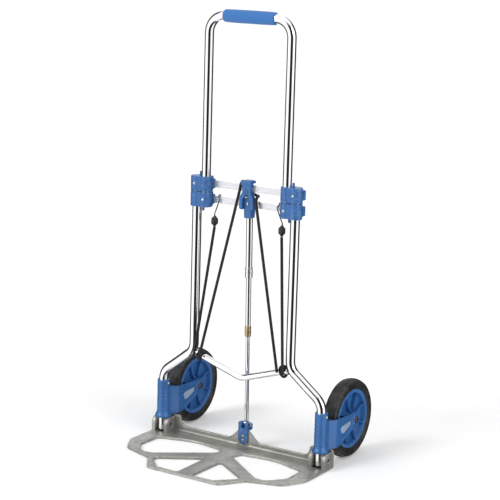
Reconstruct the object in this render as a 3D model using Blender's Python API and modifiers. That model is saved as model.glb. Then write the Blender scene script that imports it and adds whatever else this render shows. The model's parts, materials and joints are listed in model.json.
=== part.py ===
"""Folding platform cart, upright with its toe plate down.

Metres, +Z up. The plate points along -Y and the wheels stand on the +Y side. The origin is on the
floor, halfway between the two foot tubes. Each moving body hangs from an empty on its joint's axis.
"""

import math

import bmesh
import bpy
from mathutils import Matrix, Vector

# Fits
GAP = 0.0003                # between pieces that touch
PLAY = 0.0006               # beside faces that turn past each other

# Frame tubes
TUBE_R = 0.0105
TUBE_WALL = 0.0015
FOOT_X = 0.208
MAIN_X = 0.126
TUBE_BOTTOM_Z = 0.010
BEND_LOW_Z = 0.146
BEND_HIGH_Z = 0.2095
BEND_R = 0.036
MAIN_TOP_Z = 0.600
BRACE_R = 0.00725
BRACE_Y = 0.003
BRACE_LOW_Z = 0.165
BRACE_END_Z = 0.205
BRACE_BEND_R = 0.040

# Handle
HANDLE_R = 0.010
HANDLE_X = 0.1035
HANDLE_TOP_Z = 0.9538
HANDLE_END_Z = 0.541
HANDLE_BEND_R = 0.038
GRIP_R = 0.0142
GRIP_HALF = 0.064
HOOKS = {"left": (-0.0765, -0.0815), "right": (0.0785, 0.0915)}        # each wire's x, then its body's x
HOOK_Y = 0.004
HOOK_Z = 0.507

# Clamps and crossbars
CLAMP_HALF_Z = 0.0165
UPPER_Z = 0.5877
LOWER_Z = 0.5535
HANDLE_BARREL_R = 0.0136
MAIN_BARREL_R = 0.0148
CLAMP_BACK_Y = 0.0186
CLAMP_BACK_X = (0.0960, 0.1310)
PAD_INNER_X = 0.090
PAD_OUTER_X = 0.140
PAD_HALF_Z = 0.011
BAR_Y = (0.0122, 0.0158)
BAR_HALF_Z = 0.0075
BAR_HALF_X = 0.1375
BLOCK_Y = (0.0083, 0.0262)
BLOCK_Z = (0.522, 0.5675)
BLOCK_HALF_X = 0.0093
LUG_HALF_X = 0.0027
LUG_Y = (-0.0012, 0.0042)
LUG_REACH = 0.010
UPPER_LUG_X = 0.1185
LOWER_LUG_X = 0.1105
SCREW_HEAD_R = 0.0032
SCREW_SHANK_R = 0.0017
SCREW_DEPTH = 0.0028

# Latch
LATCH_PIVOT = Vector((0, 0.0085, UPPER_Z))
LATCH_PIN_R = 0.0018
LATCH_FRONT_Y = 0.0015
LATCH_BACK_Y = 0.021
LATCH_TOP_Z = UPPER_Z + 0.0185
LATCH_BOTTOM_Z = UPPER_Z - 0.0465
CHEEK_IN_X = 0.0074
CHEEK_OUT_X = 0.0106
LEG_SLOT_X = 0.0099
LEG_OUT_X = 0.0175
SADDLE_HALF_Z = 0.0105

# Toe plate and its hinge
HINGE_Z = 0.0235
HINGE_PIN_R = 0.004
PLATE_T = 0.005
FLANGE_Y = (0.0188, 0.0243)
EAR_IN = 0.012
EAR_OUT = 0.0215
EAR_R = 0.0145

# Wheels and their brackets
WHEEL_R = 0.0875
WHEEL_Y = 0.114
TYRE_IN_R = 0.0665
TYRE_HALF = 0.016
SLEEVE_R = 0.0140
SLEEVE_Z = (0.0385, 0.127)
FLARE_R = 0.0184
FLARE_TOP_Z = 0.052
FORK_IN = 0.0176
FORK_OUT = 0.0216
SLEEVE_SCREW_Z = 0.1185
SLEEVE_SCREW_DEPTH = 0.0022
AXLE_R = 0.0048
NUT_R = 0.0072
NUT_T = 0.0042
HUB_HALF = 0.0172

# Telescopic rod, measured along its own axis from the pin in the plate's bracket
ROD_PIN = Vector((0, 0.029, 0.0535))
ROD_TOP = Vector((0, 0.018, 0.541))
ROD_PIN_R = 0.003
ROD_LOWER_R = 0.0044
ROD_MID_R = (0.0059, 0.0049)
ROD_UPPER_R = (0.0072, 0.0062)
ROD_LENGTH = (ROD_TOP - ROD_PIN).length
ROD_TURN = (ROD_TOP - ROD_PIN).to_track_quat("Z", "Y").to_matrix().to_4x4()
ROD_FRAME = Matrix.Translation(ROD_PIN) @ ROD_TURN
ROD_MID_AT = (0.2025, 0.3715)
ROD_UPPER_FROM = 0.3355
ROD_LOWER_TO = 0.238
FERRULE_LENGTH = 0.0235
FERRULE_WALL = 0.0012
BRACKET_HALF = 0.0125
BRACKET_Y = (0.0146, 0.036)
BRACKET_Z = (0.0095, 0.060)
BRACKET_SEAT_Z = 0.0412
SLOT_HALF = 0.005
RIVETS_Z = {"upper": 0.028, "lower": 0.0185}
RIVET_DEPTH = 0.0038

# Bungee cord
CORD_R = 0.0032
LOOP_X = 0.108
LOOP_R = 0.0111
CORD_END_Y = -0.0148
CORD_END_Z = 0.200
MIDDLE_CORD_X = 0.102
OUTER_CORD_X = 0.116

# The middle cord's route: up the left side, round behind the upper crossbar, down the right side
BUNGEE_TOP = [(-0.0185, 0.0050, 0.584), (-0.0178, 0.0068, 0.5935), (-0.0175, 0.0100, 0.5994),
              (-0.0173, 0.0148, 0.6012), (-0.0168, 0.0196, 0.5984), (-0.0145, 0.0236, 0.5905),
              (-0.0090, 0.0262, 0.5815), (0.0000, 0.0272, 0.5750), (0.0095, 0.0266, 0.5718),
              (0.0170, 0.0238, 0.5712), (0.0208, 0.0180, 0.5712), (0.0222, 0.0120, 0.5706),
              (0.0230, 0.0070, 0.5670), (0.0240, 0.0045, 0.5590)]

SIDES = (("left", -1), ("right", 1))


def new_collection(name):
    collection = bpy.data.collections.new(name)
    bpy.context.scene.collection.children.link(collection)
    return collection


def principled(name, colour, roughness, metallic=0.0):
    material = bpy.data.materials.new(name)
    material.use_nodes = True
    shader = material.node_tree.nodes["Principled BSDF"]
    shader.inputs["Base Color"].default_value = (*colour, 1.0)
    shader.inputs["Roughness"].default_value = roughness
    shader.inputs["Metallic"].default_value = metallic
    material.diffuse_color = (*colour, 1.0)
    return material


for old in list(bpy.data.objects):
    bpy.data.objects.remove(old, do_unlink=True)

PARTS = new_collection("folding_platform_cart")
CUTTERS = new_collection("cutters")

CHROME = principled("chrome_plated_steel", (0.78, 0.79, 0.80), 0.08, 1.0)
ALUMINIUM = principled("bright_aluminium", (0.86, 0.87, 0.88), 0.25, 1.0)
CASTING = principled("cast_aluminium", (0.33, 0.33, 0.31), 0.5, 0.8)
BLUE = principled("blue_plastic", (0.03, 0.14, 0.40), 0.35)
FOAM = principled("blue_grip_foam", (0.05, 0.22, 0.58), 0.75)
RUBBER = principled("black_rubber", (0.02, 0.02, 0.02), 0.7)
STEEL = principled("zinc_plated_steel", (0.72, 0.71, 0.68), 0.3, 1.0)
BRASS = principled("brass", (0.70, 0.52, 0.30), 0.35, 1.0)
CORD = principled("black_cord", (0.015, 0.015, 0.015), 0.8)
BLACK = principled("black_plastic", (0.02, 0.02, 0.02), 0.5)


# ---------------------------------------------------------------- shape helpers

def filleted(corners, radii, steps=4, closed=False):
    """Points along straight runs with a round bend of the given radius at each corner."""
    corners = [Vector(c) for c in corners]
    points = []
    for i, corner in enumerate(corners):
        radius = radii[i] if isinstance(radii, (list, tuple)) else radii
        if radius == 0 or (not closed and i in (0, len(corners) - 1)):
            points.append(corner)
            continue
        back = (corners[i - 1] - corner).normalized()
        ahead = (corners[(i + 1) % len(corners)] - corner).normalized()
        half = back.angle(ahead) / 2
        centre = corner + (back + ahead).normalized() * (radius / math.sin(half))
        start = corner + back * (radius / math.tan(half)) - centre
        end = corner + ahead * (radius / math.tan(half)) - centre
        points += [centre + start.slerp(end, k / steps) * radius for k in range(steps + 1)]
    return points


def arc(centre, radius, start, end, steps):
    """Points on a circle, from one angle to another in degrees."""
    turns = [math.radians(start + (end - start) * k / steps) for k in range(steps + 1)]
    return [Vector(centre) + radius * Vector((math.cos(t), math.sin(t))) for t in turns]


def add(name, mesh, material, matrix=None, smooth=True):
    obj = bpy.data.objects.new(name, mesh)
    PARTS.objects.link(obj)
    if matrix is not None:
        obj.matrix_world = matrix
    if material:
        mesh.materials.append(material)
    if smooth:
        mesh.shade_smooth()
        mesh.set_sharp_from_angle(angle=math.radians(35))
    return obj


def curve_to_mesh(curve, name, material, matrix):
    """A closed mesh of a curve object, with its caps welded on."""
    obj = bpy.data.objects.new(name + "_curve", curve)
    PARTS.objects.link(obj)
    obj.matrix_world = matrix
    bpy.context.view_layer.update()
    evaluated = obj.evaluated_get(bpy.context.evaluated_depsgraph_get())
    mesh = bpy.data.meshes.new_from_object(evaluated)
    mesh.name = name
    mesh.materials.clear()
    bm = bmesh.new()
    bm.from_mesh(mesh)
    bmesh.ops.remove_doubles(bm, verts=bm.verts, dist=0.00001)
    bm.to_mesh(mesh)
    bm.free()
    bpy.data.objects.remove(obj, do_unlink=True)
    return add(name, mesh, material, matrix)


def add_spline(curve, points, closed):
    spline = curve.splines.new("POLY")
    spline.points.add(len(points) - 1)
    for at, point in zip(spline.points, points):
        at.co = (*point, 1.0) if len(point) == 3 else (*point, 0.0, 1.0)
    spline.use_cyclic_u = closed


def pipe(name, points, radius, material, sides=12, wall=None, closed=False):
    """A round bar along points, or with a wall a tube that is open at both ends."""
    curve = bpy.data.curves.new(name, "CURVE")
    curve.dimensions = "3D"
    curve.bevel_depth = radius
    curve.bevel_resolution = (sides - 4) // 2
    curve.use_fill_caps = wall is None and not closed
    add_spline(curve, points, closed)
    obj = curve_to_mesh(curve, name, material, Matrix())
    if wall:
        shell = obj.modifiers.new("wall", "SOLIDIFY")
        shell.thickness = wall
        shell.offset = -1
        shell.use_even_offset = True
    return obj


PLANES = {
    "XY": Matrix(((1, 0, 0, 0), (0, 1, 0, 0), (0, 0, 1, 0), (0, 0, 0, 1))),
    "YZ": Matrix(((0, 0, 1, 0), (1, 0, 0, 0), (0, 1, 0, 0), (0, 0, 0, 1))),
    "XZ": Matrix(((1, 0, 0, 0), (0, 0, -1, 0), (0, 1, 0, 0), (0, 0, 0, 1))),
}


def prism(name, outline, plane, low, high, material=None, holes=()):
    """A flat outline in one of the main planes, from low to high along the third axis."""
    curve = bpy.data.curves.new(name, "CURVE")
    curve.dimensions = "2D"
    curve.fill_mode = "BOTH"
    curve.extrude = (high - low) / 2
    for loop in (outline, *holes):
        add_spline(curve, loop, True)
    middle = (low + high) / 2
    shift = {"XY": (0, 0, middle), "YZ": (middle, 0, 0), "XZ": (0, middle, 0)}[plane]
    return curve_to_mesh(curve, name, material, Matrix.Translation(shift) @ PLANES[plane])


def box(name, low, high, material=None):
    low, high = Vector(low), Vector(high)
    bm = bmesh.new()
    bmesh.ops.create_cube(bm, size=1.0)
    bmesh.ops.scale(bm, vec=high - low, verts=bm.verts)
    mesh = bpy.data.meshes.new(name)
    bm.to_mesh(mesh)
    bm.free()
    return add(name, mesh, material, Matrix.Translation((low + high) / 2), smooth=False)


def cylinder(name, start, end, radius, material=None, sides=24):
    start, end = Vector(start), Vector(end)
    bm = bmesh.new()
    bmesh.ops.create_cone(bm, cap_ends=True, segments=sides, radius1=radius, radius2=radius,
                          depth=(end - start).length)
    mesh = bpy.data.meshes.new(name)
    bm.to_mesh(mesh)
    bm.free()
    turn = (end - start).to_track_quat("Z", "Y").to_matrix().to_4x4()
    return add(name, mesh, material, Matrix.Translation((start + end) / 2) @ turn)


def turned(name, profile, matrix, material=None, sides=32, closed=True):
    """A turned piece: (radius, height) pairs that run down the outer side, about matrix's Z axis."""
    mesh = bpy.data.meshes.new(name)
    edges = [(i, i + 1) for i in range(len(profile) - 1)]
    if closed:
        edges.append((len(profile) - 1, 0))
    mesh.from_pydata([(radius, 0, height) for radius, height in profile], edges, [])
    obj = add(name, mesh, material, matrix, smooth=False)
    screw = obj.modifiers.new("turn", "SCREW")
    screw.axis = "Z"
    screw.steps = sides
    screw.render_steps = sides
    screw.use_merge_vertices = True
    screw.merge_threshold = 0.0001
    screw.use_smooth_shade = True
    return obj


def boolean(obj, other, operation):
    """Leaves other in the cutters' collection, and cuts obj with it or joins the two."""
    PARTS.objects.unlink(other)
    CUTTERS.objects.link(other)
    other.name = f"{obj.name}_{operation.lower()}"
    other.hide_render = True
    other.display_type = "WIRE"
    modifier = obj.modifiers.new(operation.lower(), "BOOLEAN")
    modifier.operation = operation
    modifier.solver = "EXACT"
    modifier.object = other
    return obj


def cut(obj, *others):
    for other in others:
        boolean(obj, other, "DIFFERENCE")
    return obj


def join(obj, *others):
    for other in others:
        boolean(obj, other, "UNION")
    return obj


def joint_empty(name, location, parent=None):
    empty = bpy.data.objects.new(name, None)
    empty.empty_display_size = 0.02
    PARTS.objects.link(empty)
    empty.matrix_world = Matrix.Translation(location)
    return attach(empty, parent)


def attach(obj, parent):
    """Parents obj and keeps its place in the world."""
    if parent is not None:
        bpy.context.view_layer.update()
        obj.parent = parent
        obj.matrix_parent_inverse = parent.matrix_world.inverted()
    return obj


def attach_all(objects, parent):
    for obj in objects:
        attach(obj, parent)


def along_x(centre):
    """A frame whose Z axis is the world's X axis."""
    return Matrix.Translation(centre) @ Matrix.Rotation(math.pi / 2, 4, "Y")


def along_y(centre):
    """A frame whose Z axis points to the front, along -Y."""
    return Matrix.Translation(centre) @ Matrix.Rotation(math.pi / 2, 4, "X")


# ---------------------------------------------------------------- screws and their holes

def front_screw(name, x, front_y, z, depth=SCREW_DEPTH):
    """A domed screw whose head stands on a face that looks to -Y."""
    dome = [(0, 0.0019), (0.0015, 0.0017), (0.0027, 0.0010), (SCREW_HEAD_R, GAP),
            (SCREW_SHANK_R, GAP), (SCREW_SHANK_R, GAP - depth), (0, GAP - depth)]
    return turned(name, dome, along_y((x, front_y, z)), STEEL, sides=12, closed=False)


def screw_hole(x, front_y, z, depth=SCREW_DEPTH + 0.0008):
    radius = SCREW_SHANK_R + GAP
    return cylinder("hole", (x, front_y - 0.002, z), (x, front_y + depth, z), radius, sides=12)


# ---------------------------------------------------------------- clamps and crossbars

def barrels_outline():
    """Two round fronts side by side, one for the handle's leg and one for the main tube."""
    outline = [Vector((CLAMP_BACK_X[0], CLAMP_BACK_Y))]
    outline += arc((HANDLE_X, 0), HANDLE_BARREL_R, 125, 300, 9)
    outline += arc((MAIN_X, 0), MAIN_BARREL_R, 240, 415, 9)
    return outline + [Vector((CLAMP_BACK_X[1], CLAMP_BACK_Y))]


def clamp(name, sx, centre_z, closed_x, closed_z, lug_x, lug_way):
    """A clamp block: two bores, a slot for its crossbar, and a lug that stands off its free end.

    closed_x names the bore that stops at closed_z. Its screw stands in front of it. The free end is
    the top when lug_way is 1, and the bottom when it is -1.
    """
    low, high = centre_z - CLAMP_HALF_Z, centre_z + CLAMP_HALF_Z
    outline = [(sx * x, y) for x, y in barrels_outline()]
    block = prism(name, outline, "XY", low, high, BLUE)
    ends = sorted((sx * PAD_INNER_X, sx * PAD_OUTER_X))
    join(block, box("pads", (ends[0], 0.0085, centre_z - PAD_HALF_Z),
                    (ends[1], CLAMP_BACK_Y - 0.0006, centre_z + PAD_HALF_Z)))
    lug = sorted((centre_z + lug_way * 0.010, centre_z + lug_way * (CLAMP_HALF_Z + LUG_REACH)))
    join(block, box("lug", (sx * lug_x - LUG_HALF_X, LUG_Y[0], lug[0]),
                    (sx * lug_x + LUG_HALF_X, LUG_Y[1], lug[1])))
    for bore_x, tube_r in ((MAIN_X, TUBE_R), (HANDLE_X, HANDLE_R)):
        reach = [centre_z - lug_way * 0.03, centre_z + lug_way * 0.03]
        if bore_x == closed_x:
            reach[1] = closed_z
        cut(block, cylinder("bore", (sx * bore_x, 0, min(reach)), (sx * bore_x, 0, max(reach)), tube_r + GAP,
                            sides=16))
    slot = sorted((sx * (PAD_INNER_X - 0.004), sx * (BAR_HALF_X + GAP)))
    cut(block, box("slot", (slot[0], BAR_Y[0] - GAP, centre_z - BAR_HALF_Z - GAP),
                   (slot[1], BAR_Y[1] + GAP, centre_z + BAR_HALF_Z + GAP)))
    front = {MAIN_X: -MAIN_BARREL_R, HANDLE_X: -HANDLE_BARREL_R}[closed_x]
    cut(block, screw_hole(sx * closed_x, front, centre_z))
    return block


def crossbar(name, centre_z):
    return box(name, (-BAR_HALF_X, BAR_Y[0], centre_z - BAR_HALF_Z),
               (BAR_HALF_X, BAR_Y[1], centre_z + BAR_HALF_Z), ALUMINIUM)


# ---------------------------------------------------------------- frame

def main_tube_path(sx, end_z=MAIN_TOP_Z):
    corners = [(sx * FOOT_X, 0, TUBE_BOTTOM_Z), (sx * FOOT_X, 0, BEND_LOW_Z),
               (sx * MAIN_X, 0, BEND_HIGH_Z), (sx * MAIN_X, 0, end_z)]
    return filleted(corners, BEND_R)


def foot(side, sx):
    tube = pipe("lower_tube_" + side, main_tube_path(sx), TUBE_R, CHROME, wall=TUBE_WALL)
    pin_hole = ((sx * FOOT_X - 0.02, 0, HINGE_Z), (sx * FOOT_X + 0.02, 0, HINGE_Z))
    cut(tube, cylinder("pin_hole", *pin_hole, HINGE_PIN_R + GAP, sides=16))
    inner = (TUBE_R - TUBE_WALL) * math.cos(math.pi / 12) - GAP
    plug = [(0, 0.034), (inner, 0.034), (inner, TUBE_BOTTOM_Z - GAP), (0.0098, TUBE_BOTTOM_Z - GAP),
            (0.0098, 0.0087), (0, 0.0087)]
    bush = turned("foot_bush_" + side, plug, Matrix.Translation((sx * FOOT_X, 0, 0)), BLACK,
                  sides=16, closed=False)
    cut(bush, cylinder("pin_hole", *pin_hole, HINGE_PIN_R + GAP, sides=16))
    return [tube, bush]


def brace_z(x):
    """Height of the cross tube's axis on its straight arms."""
    return BRACE_LOW_Z + (BRACE_END_Z - BRACE_LOW_Z) * abs(x) / MAIN_X


def cross_tube():
    end_x = MAIN_X + 0.005
    end_z = brace_z(end_x)
    corners = [(-end_x, BRACE_Y, end_z), (0, BRACE_Y, BRACE_LOW_Z), (end_x, BRACE_Y, end_z)]
    tube = pipe("cross_tube", filleted(corners, BRACE_BEND_R), BRACE_R, CHROME, wall=TUBE_WALL)
    for side, sx in SIDES:
        cut(tube, pipe("weld_" + side, main_tube_path(sx, 0.25), TUBE_R + GAP, None))
    return tube


def latch_saddle():
    """The small block on the upper crossbar that holds the latch's pin. The knob tilts round its nose."""
    bottom = UPPER_Z - SADDLE_HALF_Z
    nose = [(0.0055, UPPER_Z - 0.0035), (0.0078, bottom), (0.0195, bottom)]
    outline = nose + [(y, 2 * UPPER_Z - z) for y, z in reversed(nose)]
    block = prism("latch_saddle", outline, "YZ", -0.0034, 0.0070, BLUE)
    cut(block, box("slot", (-0.01, BAR_Y[0] - GAP, UPPER_Z - BAR_HALF_Z - GAP),
                   (0.01, BAR_Y[1] + GAP, UPPER_Z + BAR_HALF_Z + GAP)))
    x, y, z = LATCH_PIVOT
    cut(block, cylinder("bore", (-0.01, y, z), (0.01, y, z), LATCH_PIN_R + GAP, sides=12))
    return block


def latch_pin_and_spring():
    x, y, z = LATCH_PIVOT
    pin = cylinder("latch_pin", (-0.0112, y, z), (0.0112, y, z), LATCH_PIN_R, STEEL, sides=12)
    ring = [(LATCH_PIN_R + GAP, 0.0015), (0.0032, 0.0015), (0.0032, -0.0015), (LATCH_PIN_R + GAP, -0.0015)]
    spring = turned("latch_spring", ring, along_x((-0.0053, y, z)), STEEL, sides=12)
    return [pin, spring]


def anchor_loop(side, sx):
    """The loop of cord that hangs round the cross tube beside its weld."""
    tilt = math.atan2(BRACE_END_Z - BRACE_LOW_Z, MAIN_X) * sx
    along = Vector((math.cos(tilt), 0, math.sin(tilt)))
    up = Vector((-math.sin(tilt), 0, math.cos(tilt)))
    centre = Vector((sx * LOOP_X, BRACE_Y, brace_z(LOOP_X)))
    turns = [2 * math.pi * k / 16 for k in range(16)]
    ring = [centre + LOOP_R * (math.cos(t) * Vector((0, 1, 0)) + math.sin(t) * up) for t in turns]
    return pipe("bungee_loop_" + side, ring, CORD_R, CORD, sides=8, closed=True)


def straight(start, end, pieces):
    start, end = Vector(start), Vector(end)
    return [start.lerp(end, k / pieces) for k in range(pieces)]


def bungee_middle():
    left_end = (-MIDDLE_CORD_X, CORD_END_Y, CORD_END_Z)
    right_end = (MIDDLE_CORD_X, CORD_END_Y, CORD_END_Z)
    route = straight(left_end, BUNGEE_TOP[0], 4) + BUNGEE_TOP
    route += straight(right_end, BUNGEE_TOP[-1], 4)[::-1]
    return pipe("bungee_middle", route, CORD_R, CORD, sides=8)


def frame():
    pieces = [cross_tube(), crossbar("upper_crossbar", UPPER_Z), latch_saddle(), *latch_pin_and_spring(),
              bungee_middle()]
    for side, sx in SIDES:
        pieces += foot(side, sx)
        pieces.append(clamp("upper_clamp_" + side, sx, UPPER_Z, MAIN_X, MAIN_TOP_Z + GAP, UPPER_LUG_X, 1))
        pieces.append(front_screw("upper_clamp_screw_" + side, sx * MAIN_X, -MAIN_BARREL_R, UPPER_Z))
        pieces.append(anchor_loop(side, sx))
    return pieces


# ---------------------------------------------------------------- handle, and the cords that it stretches

def handle_tube():
    corners = [(-HANDLE_X, 0, HANDLE_END_Z), (-HANDLE_X, 0, HANDLE_TOP_Z), (HANDLE_X, 0, HANDLE_TOP_Z),
               (HANDLE_X, 0, HANDLE_END_Z)]
    return pipe("handle_tube", filleted(corners, HANDLE_BEND_R, steps=6), HANDLE_R, CHROME, wall=TUBE_WALL)


def grip():
    bore = HANDLE_R + GAP
    end = GRIP_HALF
    profile = [(bore, end), (GRIP_R - 0.002, end), (GRIP_R, end - 0.003), (GRIP_R, -end + 0.003),
               (GRIP_R - 0.002, -end), (bore, -end)]
    return turned("grip", profile, along_x((0, 0, HANDLE_TOP_Z)), FOAM, sides=20)


def rod_top_block():
    """Rides on the lower crossbar. Its channel for the rod is open at the back."""
    half = BLOCK_HALF_X
    bottom, top = BLOCK_Z
    outline = filleted([(-half, bottom), (half, bottom), (half, top), (-half, top)],
                       [0, 0, 0.0065, 0.0065], steps=4, closed=True)
    block = prism("rod_top_block", outline, "XZ", *BLOCK_Y, BLUE)
    channel_half = ROD_UPPER_R[0] + PLAY
    cut(block, box("channel", (-channel_half, 0.0101, bottom - 0.002),
                   (channel_half, 0.030, ROD_TOP.z + 0.0014)))
    cut(block, box("slot", (-0.012, BAR_Y[0] - GAP, LOWER_Z - BAR_HALF_Z - GAP),
                   (0.012, BAR_Y[1] + GAP, LOWER_Z + BAR_HALF_Z + GAP)))
    cut(block, screw_hole(0, BLOCK_Y[0], LOWER_Z))
    return block


def hook(side, sx, wire_x, body_x):
    """A steel hook over the lower crossbar, and the moulded end that holds the cord."""
    top = LOWER_Z + BAR_HALF_Z
    wire = [(body_x, HOOK_Y, HOOK_Z + 0.0142), (wire_x - 0.0025 * sx, 0.0085, top - 0.007),
            (wire_x, 0.0098, top), (wire_x, 0.0118, top + 0.0029), (wire_x, 0.0145, top + 0.0036),
            (wire_x, 0.0171, top + 0.0018), (wire_x, 0.0177, top - 0.002), (wire_x, 0.0177, top - 0.006)]
    body = [(0, 0.0130), (0.0036, 0.0130), (0.0048, 0.0105), (0.0070, 0.0080), (0.0078, 0.0030),
            (0.0078, -0.0030), (0.0062, -0.0085), (0.0045, -0.0130), (0, -0.0130)]
    return [pipe("hook_wire_" + side, wire, 0.0013, STEEL, sides=8),
            turned("hook_body_" + side, body, Matrix.Translation((body_x, HOOK_Y, HOOK_Z)), BLACK,
                   sides=12, closed=False)]


def handle():
    pieces = [handle_tube(), grip(), crossbar("lower_crossbar", LOWER_Z), rod_top_block(),
              front_screw("rod_block_screw", 0, BLOCK_Y[0], LOWER_Z)]
    for side, sx in SIDES:
        pieces.append(clamp("lower_clamp_" + side, sx, LOWER_Z, HANDLE_X, HANDLE_END_Z - GAP,
                            LOWER_LUG_X, -1))
        pieces.append(front_screw("lower_clamp_screw_" + side, sx * HANDLE_X, -HANDLE_BARREL_R, LOWER_Z))
        pieces += hook(side, sx, *HOOKS[side])
    return pieces


def bungee_outer(side, sx):
    """The stretched run from the anchor's loop up to the hook."""
    body_x = HOOKS[side][1]
    bottom = (sx * OUTER_CORD_X, CORD_END_Y, CORD_END_Z)
    top = Vector((body_x, HOOK_Y, HOOK_Z - 0.0135))
    points = straight(bottom, top, 4) + [top]
    return pipe("bungee_" + side, points, CORD_R, CORD, sides=8)


# ---------------------------------------------------------------- latch

def latch_knob():
    """A tilting knob: flared top, pinched waist, and two legs that hook under the lower crossbar."""
    top, waist, shoulder, bottom = LATCH_TOP_Z, UPPER_Z - 0.0055, UPPER_Z - 0.0215, LATCH_BOTTOM_Z
    slot_top = LOWER_Z + 0.0165
    half = [(0.0115, top), (0.0130, top - 0.004), (CHEEK_OUT_X, waist + 0.006), (CHEEK_OUT_X, waist),
            (LEG_OUT_X, shoulder), (LEG_OUT_X, bottom + 0.003), (0.0150, bottom), (LEG_SLOT_X, bottom),
            (LEG_SLOT_X, slot_top - 0.006), (0.0050, slot_top)]
    outline = half + [(-x, z) for x, z in reversed(half)]
    knob = prism("latch_knob", outline, "XZ", LATCH_FRONT_Y, LATCH_BACK_Y, BLUE)
    cut(knob, box("cavity", (-CHEEK_IN_X, 0.0048, UPPER_Z - 0.0125), (CHEEK_IN_X, 0.030, UPPER_Z + 0.0135)))
    notch_y = 0.0109
    cut(knob, box("upper_notch", (-0.03, notch_y, UPPER_Z - 0.0115), (0.03, 0.030, UPPER_Z + 0.0115)))
    cut(knob, box("lower_notch", (-0.03, BAR_Y[0] - PLAY, LOWER_Z - BAR_HALF_Z - PLAY),
                  (0.03, 0.030, UPPER_Z - 0.014)))
    cut(knob, box("lip_back", (-0.03, 0.0155, bottom - 0.01), (0.03, 0.030, LOWER_Z)))
    cut(knob, box("window", (-0.003, -0.005, slot_top - 0.001), (0.003, 0.030, UPPER_Z - 0.0115)))
    x, y, z = LATCH_PIVOT
    cut(knob, cylinder("bore", (-0.03, y, z), (0.03, y, z), LATCH_PIN_R + GAP, sides=12))
    return knob


# ---------------------------------------------------------------- toe plate

def mirrored(half):
    """A whole outline from its +X half, which starts and ends away from the middle line."""
    return half + [(-x, y) for x, y in reversed(half)]


def plate_outline():
    side_x = FOOT_X + EAR_OUT
    corners = [(0.091, -0.2205), (0.127, -0.168), (0.203, -0.143), (side_x, -0.095), (side_x, FLANGE_Y[1])]
    radii = [0.018, 0.016, 0.030, 0.045, 0.003]
    return filleted(mirrored(corners), radii + radii[::-1], steps=3, closed=True)


def plate_openings():
    """Two big openings beside the middle, and two small ones at the front."""
    back = [(0.020, -0.057), (0.026, -0.031), (0.105, -0.0185), (0.189, -0.044), (0.191, -0.108),
            (0.160, -0.146), (0.134, -0.143)]
    back_radii = [0.007, 0.010, 0.150, 0.012, 0.028, 0.018, 0.012]
    front = [(0.0195, -0.101), (0.1075, -0.160), (0.1075, -0.174), (0.072, -0.2095), (0.0185, -0.2095)]
    front_radii = [0.006, 0.007, 0.009, 0.010, 0.006]
    loops = []
    for corners, radii in ((back, back_radii), (front, front_radii)):
        for _, sx in SIDES:
            loops.append(filleted([(sx * x, y) for x, y in corners], radii, steps=3, closed=True))
    return loops


def flange_outline():
    """The upright back wall: low between, a hump behind the bracket, a tall lobe at each foot."""
    end_x = FOOT_X + EAR_OUT
    corners = [(end_x, 0.0005), (end_x, 0.0415), (0.1735, 0.0415), (0.1700, 0.0178), (0.037, 0.0178),
               (0.0135, 0.0405)]
    radii = [0, 0.007, 0.005, 0.018, 0.020, 0.003]
    return filleted(mirrored(corners), radii + radii[::-1], steps=3, closed=True)


def toe_plate():
    plate = prism("toe_plate", plate_outline(), "XY", 0.0, PLATE_T, CASTING, holes=plate_openings())
    join(plate, prism("flange", flange_outline(), "XZ", *FLANGE_Y))
    top, back = HINGE_Z + EAR_R, FLANGE_Y[0] + 0.002
    ear = filleted([(-EAR_R, 0.001), (back, 0.001), (back, top), (-EAR_R, top)], [0, 0, 0, EAR_R - 0.0002],
                   closed=True)
    for _, sx in SIDES:
        for inner, outer in ((EAR_IN, EAR_OUT), (-EAR_OUT, -EAR_IN)):
            join(plate, prism("ear", ear, "YZ", sx * FOOT_X + inner, sx * FOOT_X + outer - GAP))
        ends = sorted((sx * (FOOT_X - 0.03), sx * (FOOT_X + 0.03)))
        cut(plate, cylinder("pin_hole", (ends[0], 0, HINGE_Z), (ends[1], 0, HINGE_Z), HINGE_PIN_R + GAP,
                            sides=16))
    return plate


def rod_bracket():
    """The clevis for the rod: a plate on the flange's front, and two ears over the hump."""
    half, seat = BRACKET_HALF, BRACKET_SEAT_Z
    bottom, top = BRACKET_Z
    face = filleted([(-half, bottom), (half, bottom), (half, top), (-half, top)],
                    [half - 0.0005, half - 0.0005, 0.003, 0.003], steps=4, closed=True)
    bracket = prism("rod_bracket", face, "XZ", BRACKET_Y[0], FLANGE_Y[0] - GAP, BLUE)
    ears = filleted([(BRACKET_Y[0], seat), (BRACKET_Y[1], seat), (BRACKET_Y[1], top), (BRACKET_Y[0], top)],
                    [0, 0.004, 0.010, 0], steps=3, closed=True)
    join(bracket, prism("ears", ears, "YZ", -half + 0.0002, half - 0.0002))
    cut(bracket, box("slot", (-SLOT_HALF, 0.0, 0.0465), (SLOT_HALF, 0.06, 0.08)))
    x, y, z = ROD_PIN
    cut(bracket, cylinder("pin_hole", (-0.03, y, z), (0.03, y, z), ROD_PIN_R + GAP, sides=16))
    for z in RIVETS_Z.values():
        cut(bracket, screw_hole(0, BRACKET_Y[0], z, RIVET_DEPTH + 0.0002))
    return bracket


def rod_pin():
    x, y, z = ROD_PIN
    half = BRACKET_HALF + GAP
    profile = [(0, half + 0.002), (0.004, half + 0.002), (0.0045, half), (ROD_PIN_R, half),
               (ROD_PIN_R, -half), (0.0045, -half), (0.004, -half - 0.0015), (0, -half - 0.0015)]
    return turned("rod_pin", profile, along_x((x, y, z)), STEEL, sides=16, closed=False)


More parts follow.
